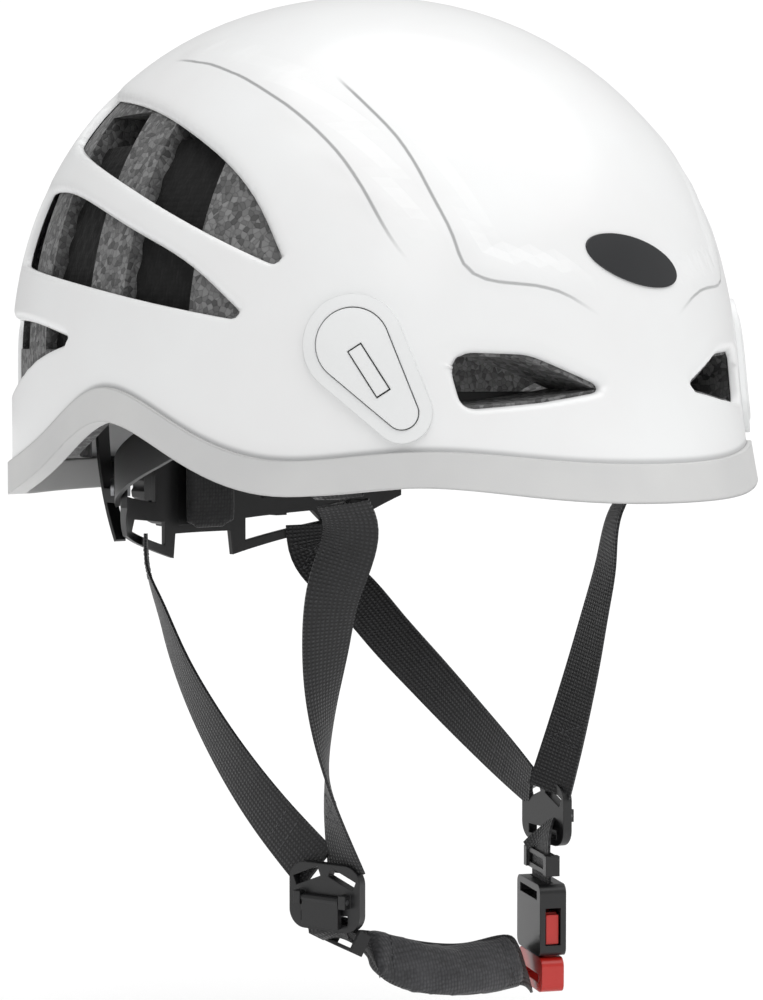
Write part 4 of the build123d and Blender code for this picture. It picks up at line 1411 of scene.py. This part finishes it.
    def sleeve(self) -> tuple[bpy.types.Object, bpy.types.Object]:
        """Soft padded sleeve round the chin strap, with a line of stitches along each end.

        Returns:
            The sleeve and its stitches.
        """
        run = Strap("sleeve_line", self.sag()[1:], width=self.sleeve_w, thick=self.sleeve_t)
        count = 34
        line, level, face, length = run.lines(count)
        bm = bmesh.new()
        ring = bmesh.ops.create_circle(bm, cap_ends=True, radius=1.0, segments=28)["verts"]
        shape = [(v.co.x, v.co.y) for v in ring]
        face_now = bm.faces[:]
        rings = [ring]
        for _ in range(count - 1):
            grown = bmesh.ops.extrude_face_region(bm, geom=face_now)
            face_now = [g for g in grown["geom"] if isinstance(g, bmesh.types.BMFace)]
            rings.append([g for g in grown["geom"] if isinstance(g, bmesh.types.BMVert)])
        for i, verts in enumerate(rings):
            share = i / (count - 1)
            cuff = 1 - 0.16 * math.exp(-((min(share, 1 - share) * length - 7) / 2.0)**2)
            end = 0.93 if i in (0, count - 1) else 1.0
            wrinkle = 1 + 0.035 * math.sin(share * 29) * math.sin(share * math.pi)
            for v in verts:
                x, y = min(shape, key=lambda p, q=v: (p[0] - q.co.x)**2 + (p[1] - q.co.y)**2)
                flat = math.copysign(abs(y)**0.75, y)
                v.co = Vector(line[i] + level[i] * x * self.sleeve_w / 2 * end
                              + face[i] * flat * (self.sleeve_t / 2 - 0.4) * cuff * end * wrinkle) * MM
        bmesh.ops.recalc_face_normals(bm, faces=bm.faces)
        obj = SLEEVE.dress(finished("chin_sleeve", bm, sharp=80))
        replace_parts(inflate(obj, 2.0, 1.0), "chin_pad")
        edge = Strap("cuff_line", self.sag()[1:], width=self.sleeve_w, thick=self.sleeve_t - 0.6)
        half = self.sleeve_w / 2 - 3
        cuffs = edge.stitches("sleeve_stitches", [(-half, 7, half, 7), (-half, length - 7, half, length - 7)])
        return obj, cuffs

    def build(self) -> list[bpy.types.Object]:
        """Builds every strap."""
        made: list[bpy.types.Object] = []
        for side, word in ((-1, "right"), (1, "left")):
            made += self.front_strap(side, word) + self.rear_strap(side, word)
        return made + [self.cheek_strap(), *self.chin_strap()]


# ---------------------------------------------------------------- carried-over fittings
@dataclass(frozen=True)
class Fittings:
    """Finishes of the hard pieces that keep the frame's own shapes."""

    finishes: tuple[tuple[Finish, tuple[str, ...]], ...] = (
        (TRIM, ("edge_trim",)),
        (FOAM, ("foam_liner",)),
        (INK, ("front_emblem",)),
        (PORT, ("port_frame_right", "port_frame_left", "port_plug_right", "port_plug_left",
                "port_latch_right", "port_latch_left")),
        (RED, ("buckle_plug", "prong_front", "prong_rear")),
        (METAL, ("arm_rivets", "cover_screws", "wheel_screw", "detent_spring", "lock_pins")),
        (ELASTIC, ("strap_keeper",)),
        (FITTING, ("divider_right", "divider_left", "divider_lock_right", "divider_lock_left",
                   "buckle_socket", "strap_slider")),
    )

    def dress(self, frame: dict) -> None:
        """Dresses every frame node that stays visible.

        Args:
            frame: what the frame's loader returned.
        """
        done: dict[str, Finish] = {node: finish for finish, nodes in self.finishes for node in nodes}
        for name, node in frame["nodes"].items():
            if not node.hide_render:
                done.get(name, BAND).dress(node)


# ---------------------------------------------------------------- studio
@dataclass(frozen=True)
class Studio:
    """Pale floor, soft lights and the camera."""

    azimuth: float = -42.0
    elevation: float = 3.2
    distance: float = 1.0
    lens: float = 104.4
    target: tuple[float, float, float] = (0.0, 0.0, -0.008)
    floor_radius: float = 9.0
    floor_drop: float = 0.06  # room under the object for the plug's travel
    ambient: float = 0.5      # strength of the white room, other than to the camera
    backdrop: float = 1.05
    lamps: tuple[tuple[str, str, tuple[float, float, float], float, float], ...] = (
        ("overhead", "SUN", (0.2, -0.5, 2.1), 1.4, 2.0),
        ("key", "AREA", (-1.2, -1.5, 1.3), 0.8, 3.0),
    )

    def floor(self, low: float) -> None:
        """Round pale floor, low enough that the unclipped buckle plug stays above it.

        Args:
            low: height of the floor, in metres.
        """
        bm = bmesh.new()
        bmesh.ops.create_circle(bm, cap_ends=True, radius=self.floor_radius, segments=96)
        bmesh.ops.translate(bm, verts=bm.verts, vec=(0, 0, low))
        obj = finished("floor", bm)
        made = bpy.data.materials.new("matt_paper_white")
        made.use_nodes = True
        shader = made.node_tree.nodes["Principled BSDF"]
        shader.inputs["Base Color"].default_value = linear("fbfbfb")
        shader.inputs["Roughness"].default_value = 0.95
        shader.inputs["Specular IOR Level"].default_value = 0.1
        obj.data.materials.append(made)
        obj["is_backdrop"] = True

    def light(self, name: str, kind: str, place: Sequence[float], size: float, power: float) -> None:
        """Adds a soft light aimed at the object.

        Args:
            name: the light's name.
            kind: "SUN" for an even broad light, "AREA" for a square panel.
            place: where it stands, in metres.
            size: width of a panel in metres, or the broad one's angle in radians.
            power: its strength.
        """
        data = bpy.data.lights.new(name, kind)
        data.energy = power
        if kind == "SUN":
            data.angle = size
        else:
            data.size = size
        lamp = bpy.data.objects.new(name, data)
        lamp.location = place
        lamp.rotation_euler = (Vector(self.target) - Vector(place)).to_track_quat("-Z", "Y").to_euler()
        bpy.context.scene.collection.objects.link(lamp)

    def build(self, low: float) -> None:
        """Builds the studio round an object whose lowest point is low.

        Args:
            low: height of the object's lowest point, in metres.
        """
        self.floor(low - self.floor_drop)
        world = bpy.data.worlds.new("white_room")
        bpy.context.scene.world = world
        world.use_nodes = True
        tree = world.node_tree
        tree.nodes["Background"].inputs["Color"].default_value = linear("ffffff")
        seen = add(tree, "ShaderNodeLightPath").outputs["Is Camera Ray"]
        strength = add(tree, "ShaderNodeMapRange", {"To Min": self.ambient, "To Max": self.backdrop},
                       {"Value": seen})
        tree.links.new(strength.outputs["Result"], tree.nodes["Background"].inputs["Strength"])
        bpy.context.scene.view_settings.view_transform = "Standard"
        for lamp in self.lamps:
            self.light(*lamp)
        data = bpy.data.cameras.new("camera")
        data.lens, data.sensor_width = self.lens, 36.0
        data.clip_start, data.clip_end = 0.05, 50
        camera = bpy.data.objects.new("camera", data)
        a, e = math.radians(self.azimuth), math.radians(self.elevation)
        back = Vector((math.sin(a) * math.cos(e), -math.cos(a) * math.cos(e), math.sin(e)))
        camera.location = Vector(self.target) + back * self.distance
        camera.rotation_euler = (-back).to_track_quat("-Z", "Y").to_euler()
        bpy.context.scene.collection.objects.link(camera)
        bpy.context.scene.camera = camera


def main() -> None:
    """Builds every piece round the frame, in order."""
    logging.basicConfig(level=logging.INFO, format="%(name)s: %(message)s")
    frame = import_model()
    LOG.info("shell: %s", Shell().build().name)
    padding = Padding()
    for piece in (padding.comfort_liner(), *padding.channel_shade_nets(), padding.brow_pad(), padding.nape_pad()):
        LOG.info("pad: %s", piece.name)
    for piece in Harness().build():
        LOG.info("harness: %s", piece.name)
    Fittings().dress(frame)
    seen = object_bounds()
    Studio().build(seen[0].z)


if __name__ == "__main__":
    main()
